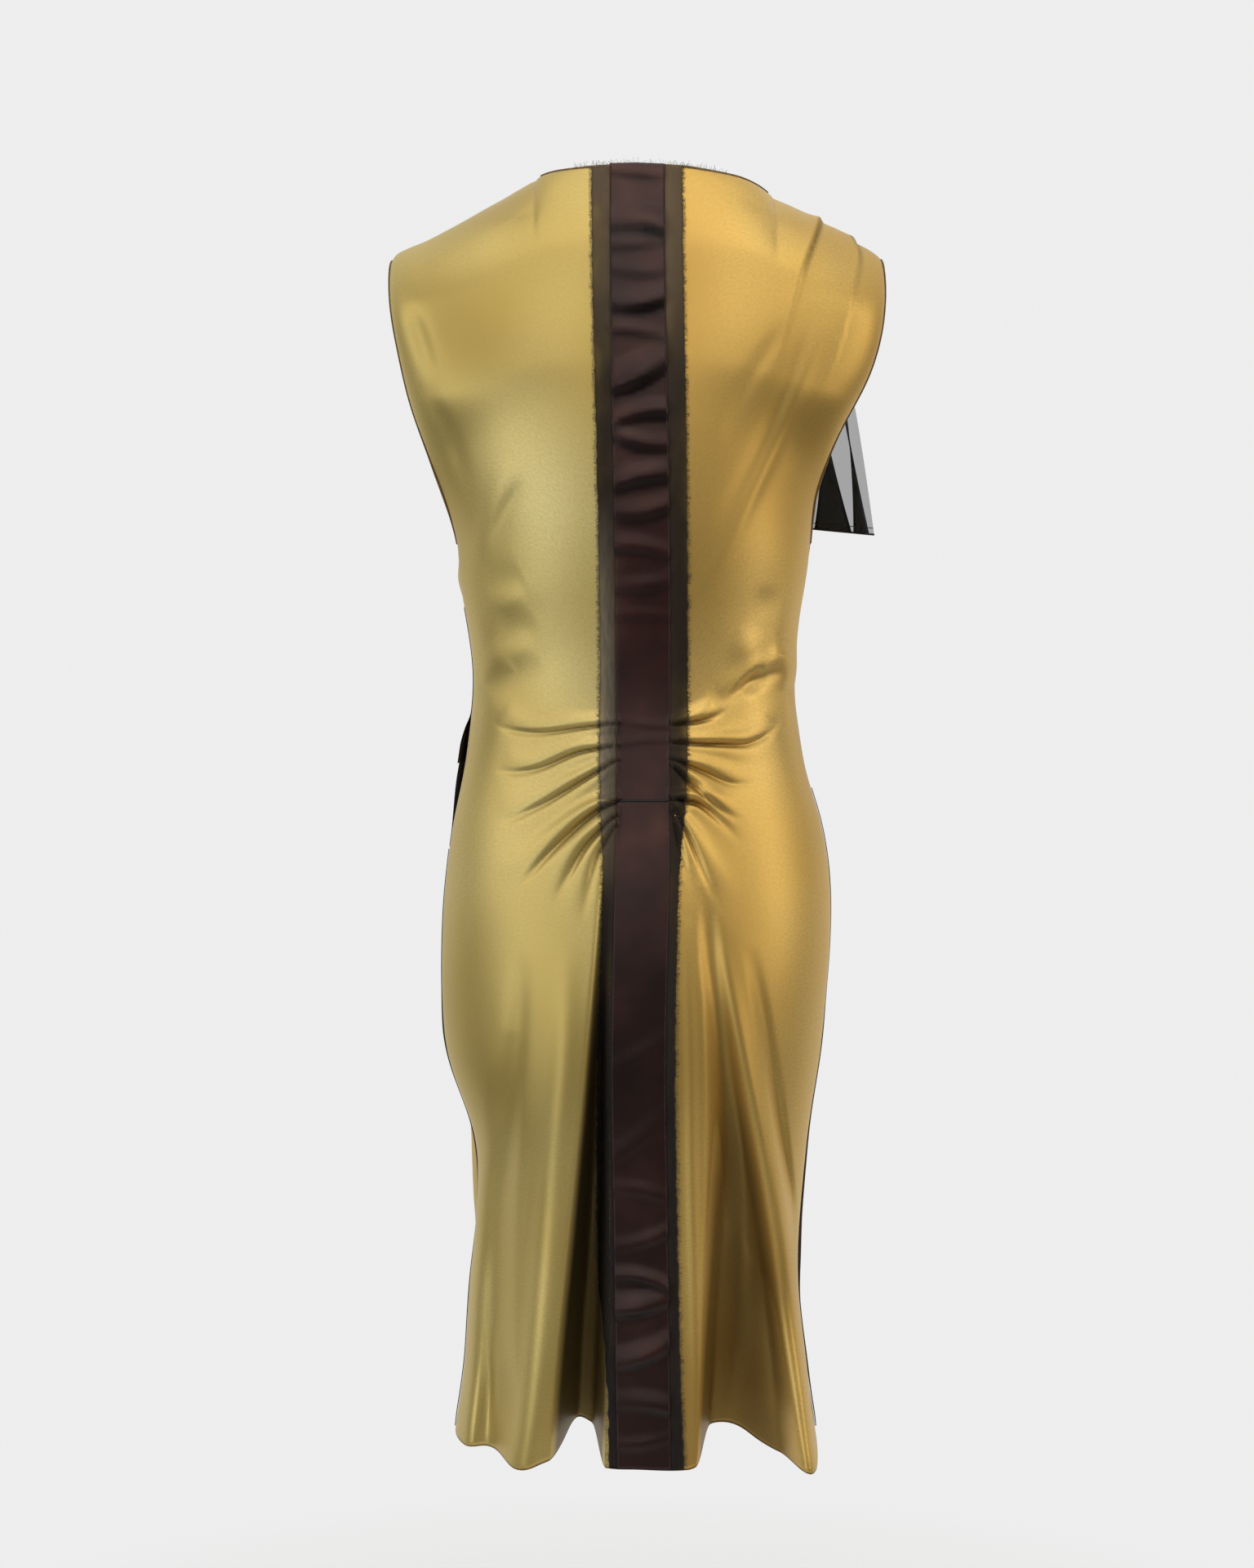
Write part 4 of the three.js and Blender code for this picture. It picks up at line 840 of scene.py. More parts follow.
def strip_look():
    """The raw-edged strip: thinner towards its edges, and thinnest along the left one above the waist."""
    look = Look("sheer_strip", 0.75, Specular_IOR_Level=0.25)
    patches = look.noise(look.place(1, 1, 0.45), 30.0, 3.0)
    surface_colour = look.ramp(patches, (0.3, (44, 34, 26)), (0.52, (64, 52, 36)), (0.75, (98, 80, 50)))
    look.plain_weave()
    parts = look.add("SeparateXYZ", {"Vector": look.place(1, 1, 1)})
    x = look.maths("ADD", parts["X"], 0.004)
    z = parts["Z"]
    edge = look.range(look.maths("ABSOLUTE", x), 0.02, 0.032, 0.0, 1.0)
    left = look.range(x, -0.01, 0.01, 0.0, 1.0)
    upper = look.range(z, -0.22, -0.32, 0.0, 1.0)
    lower = look.range(z, -0.52, -0.42, 0.0, 1.0)
    thin = look.maths("MULTIPLY", look.maths("MULTIPLY", left, upper), lower)
    fuzz = look.range(look.noise(look.uv(420, 60), 1.0, 3.0), 0.3, 0.7, 0.5, 0.9)
    outer = look.range(x, 0.02, 0.03, 0.2, 1.0)
    faded = look.maths("MULTIPLY", look.maths("MULTIPLY", thin, outer), fuzz)
    # Lighter towards the neck and darker below it; darker still from just below the waist down, which is
    # painted shadow of the skirt's hollows beside the strip.
    surface_colour = look.mix(look.range(z, -0.2, -0.02, 0.0, 0.5), surface_colour, (122, 104, 78))
    surface_colour = look.mix(look.range(z, -0.07, -0.14, 0.0, 0.6), surface_colour, (26, 17, 12))
    surface_colour = look.mix(look.range(z, -0.5, -0.68, 0.0, 0.75), surface_colour, (22, 17, 18))
    look.give("Base Color", look.mix(faded, surface_colour, (150, 138, 120)))
    worn = look.maths("ADD", look.range(patches, 0.4, 0.7, 0.25, 0.6), look.maths("MULTIPLY", thin, 0.2))
    look.give("Alpha", look.maths("SUBTRACT", 0.97, look.maths("MULTIPLY", edge, worn)))
    return look.material


def flounce_look():
    """Black sheer cloth, single and grey between the flutes and gathered to near black in each of them."""
    look = Look("sheer_black", 0.7, Specular_IOR_Level=0.3, Base_Color=linear((26, 26, 28)))
    parts = look.add("SeparateXYZ", {"Vector": look.uv(1, 1)})
    nearness = look.maths("PINGPONG", parts["X"], 0.5)
    gathered = look.maths("ADD", nearness, look.maths("MULTIPLY", parts["Y"], 1.3))
    layers = look.range(gathered, 0.37, 0.41, 0.34, 0.98)
    look.give("Alpha", look.maths("SUBTRACT", layers, look.range(gathered, 0.42, 0.5, 0.0, 0.14)))
    return look.material


def thread_look(name, base, pale):
    """Twisted thread or narrow rolled cloth, a little uneven along its length."""
    look = Look(name, 0.75, Sheen_Weight=0.3, Sheen_Roughness=0.5, Sheen_Tint=linear(pale))
    twist = look.noise(look.place(1, 1, 1), 400.0, 2.0)
    look.give("Base Color", look.ramp(twist, (0.35, base), (0.7, pale)))
    look.bump(twist, 0.3, 0.0002)
    return look.material


# All three panels are one gold satin. The left back is given paler, cooler colours than the right back,
# partly for the cloth's own colour and partly as painted sheen of the cool light on the left.
SATIN_LEFT = satin("satin_left", (182, 156, 82), (203, 181, 112), (214, 197, 134), 0.72)
SATIN_RIGHT = satin("satin_right", (190, 152, 76), (214, 178, 98), (224, 192, 116), 0.8)
SATIN_FRONT = satin("satin_front", (198, 169, 94), (208, 180, 106), (216, 191, 118), 0.76)
RIBBON = ribbon_look("ribbon", (38, 18, 15), (54, 28, 23), (74, 44, 36))
BAND = ribbon_look("band", (46, 35, 31), (58, 45, 40), (68, 54, 47))
STRIP = strip_look()
UNDERLAY = underlay_look()
BLACK_SHEER = flounce_look()
BINDING = thread_look("binding", (84, 64, 38), (126, 98, 58))
EDGING = thread_look("edging", (34, 22, 20), (58, 40, 34))
BLACK_THREAD = thread_look("black_thread", (14, 13, 14), (30, 28, 30))
BROWN_THREAD = thread_look("brown_thread", (36, 24, 24), (74, 52, 46))
OLIVE_THREAD = thread_look("olive_thread", (52, 46, 34), (92, 84, 62))
HEM_THREAD = thread_look("hem_thread", (84, 62, 30), (120, 92, 48))


def finished(piece, material, slot, *nodes):
    """Gives a piece its material and its body, and hides the imported nodes it stands for. Its slot is not
    used.
    """
    piece.data.materials.append(material)
    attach(piece, "root")
    if nodes:
        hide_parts(*nodes)
    return piece


# Panels

# Rows and columns of the panels. The rows have their finest and widest steps here, and the back's columns
# crowd together towards the middle.
ROWS, SHARES = cloth_rows(1.35, 3.3)
FRONT_ROWS, FRONT_SHARES = cloth_rows(4.0, 4.5)
BACK_FRACTIONS = np.linspace(0, 1, 112) ** 1.1
FRONT_FRACTIONS = np.linspace(0, 1, 62)
SEAM_ROW = int(np.argmin(np.abs(ROWS[:, 0] - WAIST_SEAM_Z)))
UNDERARM_ROW = int(np.argmax(SHARES[:, 0] > 0)) - 1
FRONT_UNDERARM_ROW = int(np.argmax(FRONT_SHARES[:, 0] > 0)) - 1
TURNED_HEM = 30


def creased(points, outward=1):
    """Points of the back with the gathers, tucks and soft folds, and their normals."""
    normals = grid_normals(points, outward)
    risen = points + normals * crease_rise(points[..., 0], points[..., 2])[..., None]
    return risen, grid_normals(risen, outward)


def back_grid(side):
    columns = even_columns("back", side, ROWS, SHARES, BACK_FRACTIONS)
    points = form_points("back", side, columns, ROWS, SHARES)
    return creased(points[:, ::side])


def front_grid():
    halves = {}
    for side in (1, -1):
        columns = even_columns("front", side, FRONT_ROWS, FRONT_SHARES, FRONT_FRACTIONS)
        halves[side] = form_points("front", side, columns, FRONT_ROWS, FRONT_SHARES)
    points = np.concatenate([halves[-1][:, :0:-1], halves[1]], axis=1)
    return points, grid_normals(points, -1)


def panel(name, grid, normals):
    """A panel with its hem turned up inside, where it is twice as thick."""
    turned = 1 - smoothstep(TURNED_HEM - 1, TURNED_HEM + 1, run_lengths(grid, 0))
    piece = shell(name + "_cloth", grid, grid - normals * (SATIN * (1 + turned))[..., None])
    back = np.mean(grid[..., 1]) > 0
    return shaded(piece, painted_fold_shade(grid[..., 0], grid[..., 2]) if back else np.zeros(grid.shape[:2]))


LEFT, LEFT_NORMALS = back_grid(1)
RIGHT, RIGHT_NORMALS = back_grid(-1)
FRONT, FRONT_NORMALS = front_grid()

back_left = finished(panel("back_left", LEFT, LEFT_NORMALS), SATIN_LEFT, "satin_left", "back_left")
back_right = finished(panel("back_right", RIGHT, RIGHT_NORMALS), SATIN_RIGHT, "satin_right", "back_right")
front = finished(panel("front", FRONT, FRONT_NORMALS), SATIN_FRONT, "satin_front", "front")


# Strip and ribbon down the centre back

STRIP_COLUMNS = 41
RIBBON_COLUMNS = 25
SAWTOOTH = 0.5
LENGTHS = {"lower": slice(0, SEAM_ROW + 1), "upper": slice(SEAM_ROW, len(ROWS))}


def strip_half(side, z):
    return value(STRIP_HALF, SIDE_NAMES[side], z)


def centre_grid(offsets, rows, shares):
    """Points and normals of the back at signed distances from its centre line."""
    left = form_points("back", 1, np.maximum(offsets, 0), rows, shares)
    right = form_points("back", -1, np.maximum(-offsets, 0), rows, shares)
    return creased(np.where((offsets >= 0)[..., None], left, right))


def trimmed(grid, length):
    """Leaves the gap of the waist seam between the two lengths of a trim."""
    end = 0 if length == "upper" else -1
    grid[end, :, 2] += SEAM_GAP / 2 if length == "upper" else -SEAM_GAP / 2
    return grid


def strip(length):
    rows = ROWS[LENGTHS[length]]
    shares = SHARES[LENGTHS[length]]
    ragged = rng.uniform(-SAWTOOTH, SAWTOOTH, (len(rows), 2))
    low = -strip_half(-1, rows) + ragged[:, :1]
    high = strip_half(1, rows) + ragged[:, 1:]
    offsets = lerp(low, high, np.linspace(0, 1, STRIP_COLUMNS)[None, :])
    points, normals = centre_grid(offsets, rows, shares)
    inner = trimmed(points + normals * STRIP_OFF, length)
    outer = trimmed(points + normals * (STRIP_OFF + SHEER), length)
    name = "strip_" + length
    piece = finished(shell(name + "_cloth", outer, inner), STRIP, "sheer_strip", name)
    return piece, outer, normals


def ribbon_puckers(offset, z):
    """Each pucker's rise, reach, height of the points over its underside and fullness there, 0 to 1."""
    share = offset / RIBBON_HALF
    columns = (PUCKERS[name] for name in ("z", "slant", "bow", "rise", "reach", "full"))
    for middle, slant, bow, height, reach, full in zip(*columns):
        up = z - middle - slant * share - bow * share**2
        yield height, reach, up, bell(share - full, PUCKER_WIDTH)


def pucker_rise(offset, z):
    """Rise of the ribbon's crosswise puckers, steep on the lower side and easing off upward."""
    rise = np.zeros(z.shape)
    for height, reach, up, fullness in ribbon_puckers(offset, z):
        across = lerp(*PUCKER_RISE_ACROSS, fullness)
        easing = 1 - smoothstep(PUCKER_CREST * reach, reach, up)
        rise += across * height * smoothstep(*PUCKER_UNDERSIDE, up) * easing
    return rise


def pucker_shade(offset, z):
    """Painted shade under the puckers of the ribbon, 0 to 1, by how deep under a pucker each point lies,
    with the lower length evenly darker as well.
    """
    shade = LOWER_RIBBON_SHADE * (1 - smoothstep(*LOWER_RIBBON_HEIGHTS, z))
    for height, _, up, fullness in ribbon_puckers(offset, z):
        across = lerp(*PUCKER_SHADE_ACROSS, fullness)
        width = PUCKER_SHADE_NARROWEST + PUCKER_SHADE_SPREAD * height
        darkest = across * min(1, height / PUCKER_SHADE_FULL)
        shade = np.maximum(shade, darkest * bell(up + PUCKER_SHADE_BELOW, width))
    return shade


def ribbon(length):
    rows = ROWS[LENGTHS[length]]
    shares = SHARES[LENGTHS[length]]
    offsets = np.tile(RIBBON_HALF * np.linspace(-1, 1, RIBBON_COLUMNS), (len(rows), 1))
    points, normals = centre_grid(offsets, rows, shares)
    off = RIBBON_OFF + pucker_rise(offsets, points[..., 2])
    inner = trimmed(points + normals * off[..., None], length)
    outer = trimmed(points + normals * (off + RIBBON_THICKNESS)[..., None], length)
    name = "ribbon_" + length
    piece = shaded(shell(name + "_cloth", outer, inner), pucker_shade(offsets, points[..., 2]))
    return finished(piece, RIBBON, "ribbon", name), outer, grid_normals(outer, 1)


strip_lower, STRIP_LOWER, STRIP_LOWER_NORMALS = strip("lower")
strip_upper, STRIP_UPPER, STRIP_UPPER_NORMALS = strip("upper")
ribbon_lower, RIBBON_LOWER, RIBBON_LOWER_NORMALS = ribbon("lower")
ribbon_upper, RIBBON_UPPER, RIBBON_UPPER_NORMALS = ribbon("upper")


# Frayed threads and stitches

FRAY_RADIUS = 0.12
FRAY_ROOT = 1.0
# Painted shadow along the waist seam: how far off the ribbon it lies and its radius
SEAM_SHADOW_OFF = 0.1
SEAM_SHADOW_RADIUS = 0.7
STITCH_INSET = 0.9
STITCH_PITCH = 2.6
STITCH_LENGTH = 1.5
STITCH_RADIUS = 0.24
STITCH_SUNK = 0.1
NECK_FRAY_COUNT = 150
NECK_FRAY_FROM = -68
NECK_FRAY_TO = 46
NECK_FRAY_RADIUS = 0.1


def along_edge(edge, inside, normals, places):
    """Points, outward directions, normals and directions along an edge, at lengths along it."""
    length = run_lengths(edge, 0)

    def at(values):
        return np.stack([np.interp(places, length, values[:, i]) for i in range(3)], axis=-1)

    point = at(edge)
    normal = unit(at(normals))
    along = unit(at(np.gradient(edge, axis=0)))
    out = unit(at(edge - inside))
    return point, unit(out - normal * (out * normal).sum(-1, keepdims=True)), normal, along


def fray(name, grid, normals, pitch, reach):
    """Loose thread ends along both side edges of a strip."""
    strands = []
    for edge, inside in ((0, 2), (-1, -3)):
        length = run_lengths(grid[:, edge], 0)[-1]
        places = np.arange(0, length, pitch)
        places = places + rng.uniform(-pitch, pitch, len(places))
        point, out, normal, along = along_edge(grid[:, edge], grid[:, inside], normals[:, edge], places)
        reached = rng.uniform(0.25, 1, len(places))[:, None] ** 1.5 * reach
        lean = rng.normal(0, 0.45, (len(places), 2))
        start = point - out * FRAY_ROOT
        middle = point + out * reached * 0.5 + along * lean[:, :1] * reached * 0.5
        end = point + (out + along * lean.sum(axis=1, keepdims=True) + normal * 0.25) * reached
        strands.append(np.stack([start, middle, end], axis=1))
    strands = np.concatenate(strands)
    return finished(tubes(name, strands, FRAY_RADIUS, 3, (0, 1, 0.2)), OLIVE_THREAD, "sheer_strip")


def stitches(name, grid, normals):
    """A row of short stitches inside both side edges of a strip."""
    strands = []
    for edge, inside in ((0, 1), (-1, -2)):
        total = run_lengths(grid[:, edge], 0)[-1]
        places = np.arange(STITCH_PITCH, total - STITCH_PITCH, STITCH_PITCH)
        point, out, normal, along = along_edge(grid[:, edge], grid[:, inside], normals[:, edge], places)
        centre = point - out * STITCH_INSET
        start = centre - along * STITCH_LENGTH / 2 - normal * STITCH_SUNK
        end = centre + along * STITCH_LENGTH / 2 - normal * STITCH_SUNK
        strands.append(np.stack([start, centre + normal * STITCH_RADIUS * 0.8, end], axis=1))
    piece = tubes(name, np.concatenate(strands), STITCH_RADIUS, 5, (1, 0, 0.1))
    return finished(piece, BROWN_THREAD, "ribbon")


def neck_fray():
    """Short loose threads that stand up from the trim's raw end at the neck."""
    count = NECK_FRAY_COUNT
    x = rng.uniform(NECK_FRAY_FROM, NECK_FRAY_TO, count)
    share = np.ones((count, 1))
    rows = np.full((count, 1), float(TIP_Z))
    distance = np.abs(x)[:, None]
    left = form_points("back", 1, distance, rows, share)[:, 0]
    right = form_points("back", -1, distance, rows, share)[:, 0]
    point = np.where((x > 0)[:, None], left, right) + np.array([0, 0.8, -0.5])
    reach = rng.uniform(1.5, 5.5, count)[:, None]
    lean = np.stack([rng.normal(0, 0.5, count), rng.normal(0.1, 0.2, count), np.ones(count)], axis=-1)
    middle = point + unit(lean) * reach * 0.5
    end = middle + unit(lean + rng.normal(0, 0.4, (count, 3))) * reach * 0.5
    strands = np.stack([point, middle, end], axis=1)
    piece = tubes("neck_fray", strands, NECK_FRAY_RADIUS, 3, (0.1, 1, 0))
    return finished(piece, OLIVE_THREAD, "sheer_strip")


def seam_shadow_line():
    """A black strand along the waist seam, as painted shadow of the ridge where the two lengths of strip
    and ribbon meet.
    """
    edge = RIBBON_UPPER[0] + RIBBON_UPPER_NORMALS[0] * SEAM_SHADOW_OFF
    piece = tubes("painted_seam_shadow", edge[None], SEAM_SHADOW_RADIUS, 8, (0, 0, 1))
    return finished(piece, BLACK_THREAD, "ribbon")


painted_seam_shadow = seam_shadow_line()
fray_lower = fray("fray_lower", STRIP_LOWER, STRIP_LOWER_NORMALS, 0.55, 3.0)
fray_upper = fray("fray_upper", STRIP_UPPER, STRIP_UPPER_NORMALS, 0.5, 2.6)
neck_threads = neck_fray()
stitch_lower = stitches("stitches_lower", RIBBON_LOWER, RIBBON_LOWER_NORMALS)
stitch_upper = stitches("stitches_upper", RIBBON_UPPER, RIBBON_UPPER_NORMALS)

HEM_LINE_INSET = 0.4
HEM_LINE_RADIUS = 0.55


def hem_line(name, grid, normals):
    """A fine rounded line of thread along the fold of a panel's hem."""
    line = grid[0] - normals[1] * HEM_LINE_INSET
    piece = tubes("hem_line_" + name, line[None], HEM_LINE_RADIUS, 6, (0, 0, 1))
    return finished(piece, HEM_THREAD, "satin_" + name)


hem_left = hem_line("left", LEFT, LEFT_NORMALS)
hem_right = hem_line("right", RIGHT, RIGHT_NORMALS)
hem_front = hem_line("front", FRONT, FRONT_NORMALS)


# Bindings and edgings

# Cross section of a rolled binding: out past the edge of the cloth and away from its face
BINDING_SECTION = table(
    "out face",
    (-2.3, 0.35), (-2.0, 0.75), (-1.2, 1.05), (-0.3, 1.0), (0.5, 0.6), (0.85, 0.0), (0.85, -0.6),
    (0.5, -1.2), (-0.3, -1.55), (-1.2, -1.6), (-2.0, -1.3), (-2.3, -0.95),
)
BINDING_WALL = 0.35
BINDING_STEP = 2.5
NECK_BINDING_INSET = 3
EDGING_ARC = 150
EDGING_WALL = 0.2
EDGING_ROWS = 170
EDGING_POINTS = 13


def wrapped(name, point, out, normal, section, wall):
    """A strip of cloth folded round an edge, from its cross section at every station."""
    turn = np.gradient(section, axis=-2)
    inward = unit(np.stack([turn[..., 1], -turn[..., 0]], axis=-1))
    grids = []
    for profile in (section, section + inward * wall):
        grids.append(point[:, None] + out[:, None] * profile[..., :1] + normal[:, None] * profile[..., 1:])
    return shell(name + "_cloth", *grids)


def resampled(values, places):
    return np.stack([np.interp(places[1], places[0], values[:, i]) for i in range(3)], axis=-1)


def binding(name, edge, inside, normals):
    """A rolled binding along an edge of the cloth. Returns the piece and its length."""
    length = run_lengths(edge, 0)
    places = (length, np.linspace(0, length[-1], int(length[-1] / BINDING_STEP)))
    point = resampled(edge, places)
    normal = unit(resampled(normals, places))
    out = resampled(unit(edge - inside), places)
    out = unit(out - normal * (out * normal).sum(-1, keepdims=True))
    section = np.stack([BINDING_SECTION["out"], BINDING_SECTION["face"]], axis=-1)
    section = np.broadcast_to(section, (len(point), *section.shape))
    piece = finished(wrapped(name, point, out, normal, section, BINDING_WALL), BINDING, "binding", name)
    return piece, length[-1] * MM


def armhole_binding(name):
    side = 1 if name == "left" else -1
    back, back_normals = (LEFT, LEFT_NORMALS) if side > 0 else (RIGHT, RIGHT_NORMALS)
    column, inside = (-1, -3) if side > 0 else (0, 2)
    panels = ((back, back_normals, UNDERARM_ROW), (FRONT, FRONT_NORMALS, FRONT_UNDERARM_ROW))
    parts = []
    for grid, normals, row in panels:
        edges = (grid[:, column], grid[:, inside], normals[:, column])
        parts.append([values[row + 1:] for values in edges])
    joined = [np.concatenate([up, down[::-1][1:]]) for up, down in zip(*parts)]
    return binding("armhole_binding_" + name, *joined)


def neck_binding():
    def across(grid, normals):
        x = grid[-1, :, 0]
        within = (x > -NECK_POINT[-1] + NECK_BINDING_INSET) & (x < NECK_POINT[1] - NECK_BINDING_INSET)
        return [values[within] for values in (grid[-1], grid[-4], normals[-2])]

    parts = zip(across(RIGHT, RIGHT_NORMALS), across(LEFT, LEFT_NORMALS), across(FRONT, FRONT_NORMALS))
    joined = [np.concatenate([right, left, ahead[::-1]]) for right, left, ahead in parts]
    return binding("neck_binding", *joined)


def side_edging(name):
    side = 1 if name == "left" else -1
    z = np.linspace(HEM_Z, SIDE_EDGING_TOP[side], EDGING_ROWS)
    radius = value(SIDE_EDGING, name, z)
    x = side * (half_width("front", side, z) + SEAM_GAP + radius)
    point = np.stack([x, radius * SIDE_EDGING_SET_BACK, z], axis=-1)
    out = np.tile([float(side), 0, 0], (len(z), 1))
    normal = np.tile([0, 1.0, 0], (len(z), 1))
    angle = np.radians(np.linspace(EDGING_ARC, -EDGING_ARC, EDGING_POINTS))
    section = np.stack([np.cos(angle), np.sin(angle)], axis=-1)[None] * radius[:, None, None]
    node = "side_edging_" + name
    piece = wrapped(node, point, out, normal, section, EDGING_WALL)
    return finished(piece, EDGING, "edging", node), (z[-1] - z[0]) * MM


armhole_left, ARMHOLE_LEFT_LENGTH = armhole_binding("left")
armhole_right, ARMHOLE_RIGHT_LENGTH = armhole_binding("right")
neck, NECK_LENGTH = neck_binding()
edging_left, EDGING_LEFT_LENGTH = side_edging("left")
edging_right, EDGING_RIGHT_LENGTH = side_edging("right")


# Waist band, the sheer piece under it and the flounce

def on_front(column, z):
    """Point and normal of the front at a height, in one column of its grid."""
    heights = FRONT[:, column, 2]
    point = [np.interp(z, heights, FRONT[:, column, i]) for i in range(3)]
    normal = [np.interp(z, heights, FRONT_NORMALS[:, column, i]) for i in range(3)]
    return np.array(point), unit(np.array(normal))


def side_flare(across, z):
    """How far the band and its underlay flare off one side at a height."""
    amount = BAND_FLARE[1 if across > 0 else -1]
    height = smoothstep(FLARE_NONE, FLARE_FULL, z) * (1 - smoothstep(FLARE_EASING, FLARE_CLOSED, z))
    return amount * height * abs(across) ** FLARE_SHARPNESS


def front_layer(name, levels, stand_off, thickness, material, slot):
    """A layer over the front, at levels given for its right and left ends."""
    count = FRONT.shape[1]
    inner = []
    outer = []
    for right, left in levels:
        for column in range(LAYER_FIRST_COLUMN, count):
            share = column / (count - 1)
            point, normal = on_front(column, lerp(right, left, share))
            off = stand_off(2 * share - 1, point[2])
            inner.append(point + normal * off)
            outer.append(point + normal * (off + thickness))
    grids = [np.reshape(points, (len(levels), -1, 3)) for points in (outer, inner)]
    return finished(shell(name + "_cloth", *grids), material, slot, name)


def waist_band():
    """The band. Its right end is cut off higher, where its lowest rows crowd together."""
    heights = np.linspace(BAND_BOTTOM[1], BAND_TOP, BAND_ROWS)
    levels = [(max(z, BAND_BOTTOM[-1] + BAND_CROWDING * i), z) for i, z in enumerate(heights)]

    def stand_off(across, z):
        over = BAND_OVER_UNDERLAY * smoothstep(BAND_STEP_TOP, BAND_STEP_BOTTOM, z)
        return LAYER_OFF + over + side_flare(across, z)

    return front_layer("waist_band", levels, stand_off, RIBBON_THICKNESS, BAND, "band")


def band_underlay():
    shares = np.linspace(0, 1, UNDERLAY_ROWS)
    levels = list(zip(*(lerp(UNDERLAY_BOTTOM[side], UNDERLAY_TOP, shares) for side in (-1, 1))))

    def stand_off(across, z):
        return LAYER_OFF + side_flare(across, z)

    return front_layer("band_underlay", levels, stand_off, SHEER, UNDERLAY, "sheer_underlay")


def front_depth(x, z):
    """The y of the front's outer surface at an x and a height."""
    points = np.array([on_front(c, z)[0] for c in range(FRONT.shape[1])])
    return np.interp(x, points[:, 0], points[:, 1])


def flounce():
    """The flounce, with a UV map of flutes across and height, by which its looks are worked out."""
    turn = np.linspace(0, FLOUNCE_FLUTES, FLOUNCE_FLUTES * FLOUNCE_COLUMNS + 1)[None, :]
    down = np.linspace(1, 0, FLOUNCE_ROWS)[:, None]
    overlap = np.array(FLOUNCE_OVERLAP)[np.minimum(turn.astype(int), FLOUNCE_FLUTES - 1)]
    fold = overlap * down**FLOUNCE_OVERLAP_RISE * np.sin(2 * math.pi * turn)
    share = np.clip((turn + fold) / FLOUNCE_FLUTES, 0, 1)

    def from_end(ends, at):
        return [lerp(end, start, at) for end, start in zip(ends["end"], ends["start"])]

    seam = np.linspace(0, 1, FLOUNCE_SEAM_POINTS)
    seam_y = [front_depth(*from_end(FLOUNCE_TOP, at)) for at in seam]
    top_x, top_z = from_end(FLOUNCE_TOP, share)
    top = np.stack([top_x, np.interp(share, seam, seam_y) - FLOUNCE_STAND_OFF, top_z], axis=-1)
    hem = np.stack(from_end(FLOUNCE_HEM, share), axis=-1)
    opened = (down ** FLOUNCE_SPREAD)[..., None]
    grid = lerp(top, hem, opened)
    grid[..., 2] = lerp(top[..., 2], hem[..., 2], down)
    grid[..., 1] -= FLOUNCE_WAVE * down ** FLOUNCE_WAVE_SPREAD * np.cos(2 * math.pi * turn)
    normals = grid_normals(grid, -1)
    piece = shell("flounce_cloth", grid + normals * SHEER / 2, grid - normals * SHEER / 2)
    places = np.stack(np.broadcast_arrays(turn, FLOUNCE_UV_HEIGHT * down), axis=-1).reshape(-1, 2)
    set_uv(piece.data, np.concatenate([places, places]))
    return finished(piece, BLACK_SHEER, "sheer_black", "flounce"), grid


def flounce_thread(name, line, radius):
    return finished(tubes(name, line, radius, 6, (0, 0, 1)), BLACK_THREAD, "sheer_black")


band = waist_band()
underlay = band_underlay()
flounce_piece, FLOUNCE_GRID = flounce()
flounce_hem = flounce_thread("flounce_hem", FLOUNCE_GRID[:1], 0.9)
flounce_turn = flounce_thread("flounce_hem_line", FLOUNCE_GRID[2:3], 0.35)


# Floor, surroundings, lights and camera

# The floor: its height, the radii of its rings, their corners and the metres over which it fades out
FLOOR_Z = -1420
FLOOR_RINGS = (700, 900, 1100)
FLOOR_CORNERS = 96
FLOOR_FADE = (0.4, 1.1)

# Brightness of the surroundings in front of the wearer, and behind them from below to above
WORLD_FRONT = 0.85
WORLD_BELOW = 0.06
WORLD_LEVEL = 0.12
WORLD_ABOVE = 0.7

# Lights: name, place, aim, width and height in metres, power in watts and display colour
LIGHTS = [
    ("key", (-0.1, 2.7, 0.8), (0, 0, -0.45), 2.6, 0.6, 15, (255, 248, 236)),
    ("high", (-0.1, 1.9, 2.1), (0, 0, -0.3), 2.4, 0.9, 12, (255, 248, 236)),
    ("top", (0.2, 0.6, 2.2), (0, 0, -0.4), 2.4, 1.4, 11, (255, 248, 236)),
    ("left", (1.75, 2.2, -0.8), (0, 0, -0.5), 1.5, 1.3, 19, (236, 244, 255)),
    ("left_side", (2.4, 1.3, 0.45), (0, 0, -0.45), 0.9, 1.3, 13, (250, 250, 250)),
    ("right_side", (-2.1, 1.1, -0.1), (0, 0, -0.5), 0.7, 2.0, 16, (255, 247, 234)),
]

# The camera stands 2.1 m behind the dress and looks a little down
CAMERA_PLACE = (7.62, 2100, -227.33)
CAMERA_AIM = (7.62, 0, -443.23)
CAMERA_LENS = 62.33
CAMERA_SENSOR = 36


def stood(name, data, place, aim):
    """Puts a light or a camera at a place, facing a point."""
    holder = bpy.data.objects.new(name, data)
    holder.location = place
    holder.rotation_euler = (Vector(aim) - Vector(place)).to_track_quat("-Z", "Y").to_euler()
    bpy.context.scene.collection.objects.link(holder)
    return holder


def area_light(name, place, aim, width, height, power, colour):
    light = bpy.data.lights.new(name, "AREA")
    light.shape = "RECTANGLE"
    light.size = width
    light.size_y = height
    light.energy = power
    light.color = linear(colour)[:3]
    stood(name, light, place, aim)


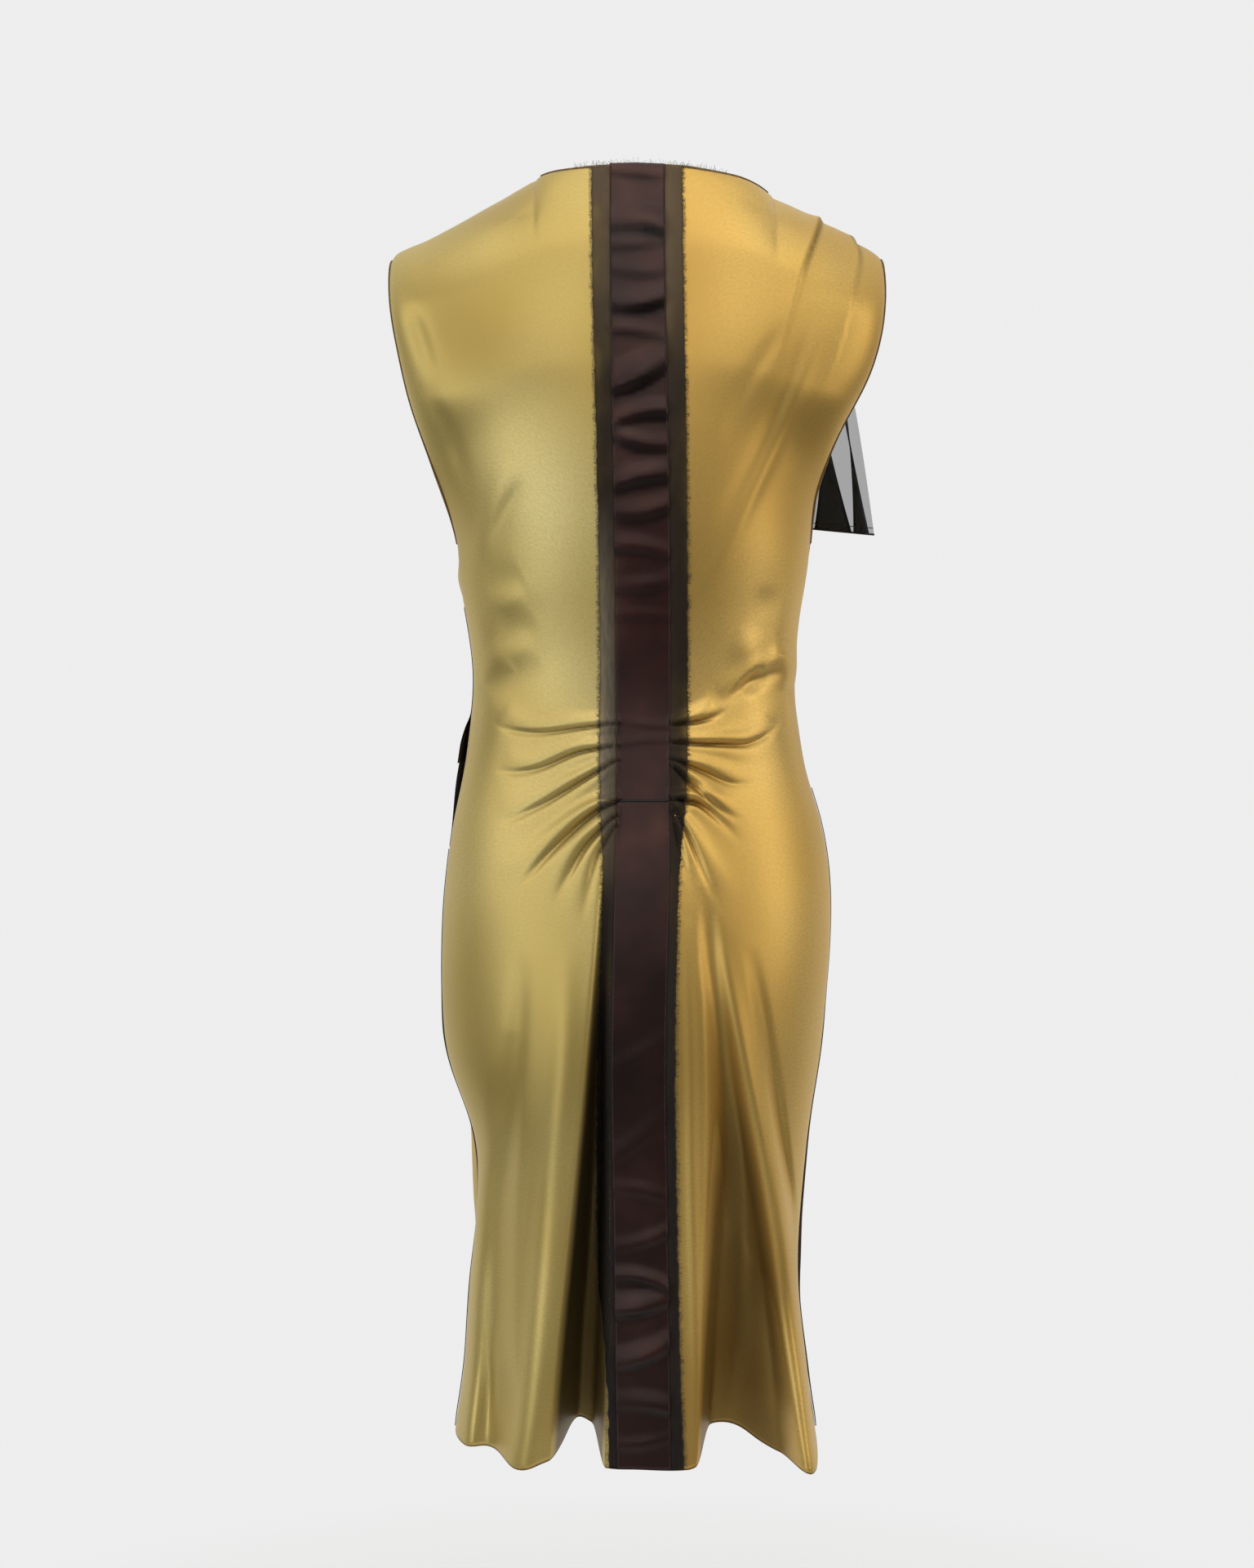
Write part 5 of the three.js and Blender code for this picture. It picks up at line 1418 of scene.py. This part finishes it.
def floor():
    """A pale disc that fades out towards its rim."""
    points = [(0, 0, FLOOR_Z)]
    for radius in FLOOR_RINGS:
        for k in range(FLOOR_CORNERS):
            angle = 2 * math.pi * k / FLOOR_CORNERS
            points.append((radius * math.cos(angle), radius * math.sin(angle), FLOOR_Z))
    faces = []
    for k in range(FLOOR_CORNERS):
        after = (k + 1) % FLOOR_CORNERS
        faces.append((0, 1 + k, 1 + after))
        for ring in range(len(FLOOR_RINGS) - 1):
            inner = 1 + ring * FLOOR_CORNERS
            outer = inner + FLOOR_CORNERS
            faces.append((inner + k, outer + k, outer + after, inner + after))
    look = Look("floor", 0.9, Base_Color=linear((238, 238, 237)))
    away = look.add("VectorMath", {0: look.place(1, 1, 0)}, operation="LENGTH")["Value"]
    look.give("Alpha", look.range(away, *FLOOR_FADE, 1.0, 0.0))
    disc = mesh_piece("floor", points, faces)
    disc.data.materials.append(look.material)


def world():
    """Light from all round: pale in front of the wearer, and behind the back bright above and dim below.
    What shows past the dress is the same pale wall on all sides.
    """
    holder = bpy.data.worlds.new("world")
    bpy.context.scene.world = holder
    sky = Nodes(holder)
    parts = sky.add("SeparateXYZ", {"Vector": sky.add("TexCoord", {})["Generated"]})
    soft = {"interpolation_type": "SMOOTHSTEP"}
    behind = sky.range(parts["Y"], -0.55, 0.0, 0.0, 1.0, **soft)
    below = sky.range(parts["Z"], -0.7, 0.1, WORLD_BELOW, WORLD_LEVEL, **soft)
    above = sky.range(parts["Z"], 0.1, 0.9, 0.0, WORLD_ABOVE - WORLD_LEVEL, **soft)
    light = sky.add("Mix", {"Factor": behind, 2: WORLD_FRONT, 3: sky.maths("ADD", below, above)})[0]
    direct = sky.add("LightPath", {})["Is Camera Ray"]
    shown = sky.add("Mix", {"Factor": direct, 2: light, 3: WORLD_FRONT})[0]
    sky.feed(sky.tree.nodes["Background"].inputs["Color"], shown)


def camera():
    lens = bpy.data.cameras.new("camera")
    lens.lens = CAMERA_LENS
    lens.sensor_width = CAMERA_SENSOR
    bpy.context.scene.camera = stood("camera", lens, Vector(CAMERA_PLACE) * MM, Vector(CAMERA_AIM) * MM)


floor()
world()
for row in LIGHTS:
    area_light(*row)
camera()
bpy.context.scene.view_settings.view_transform = "Standard"
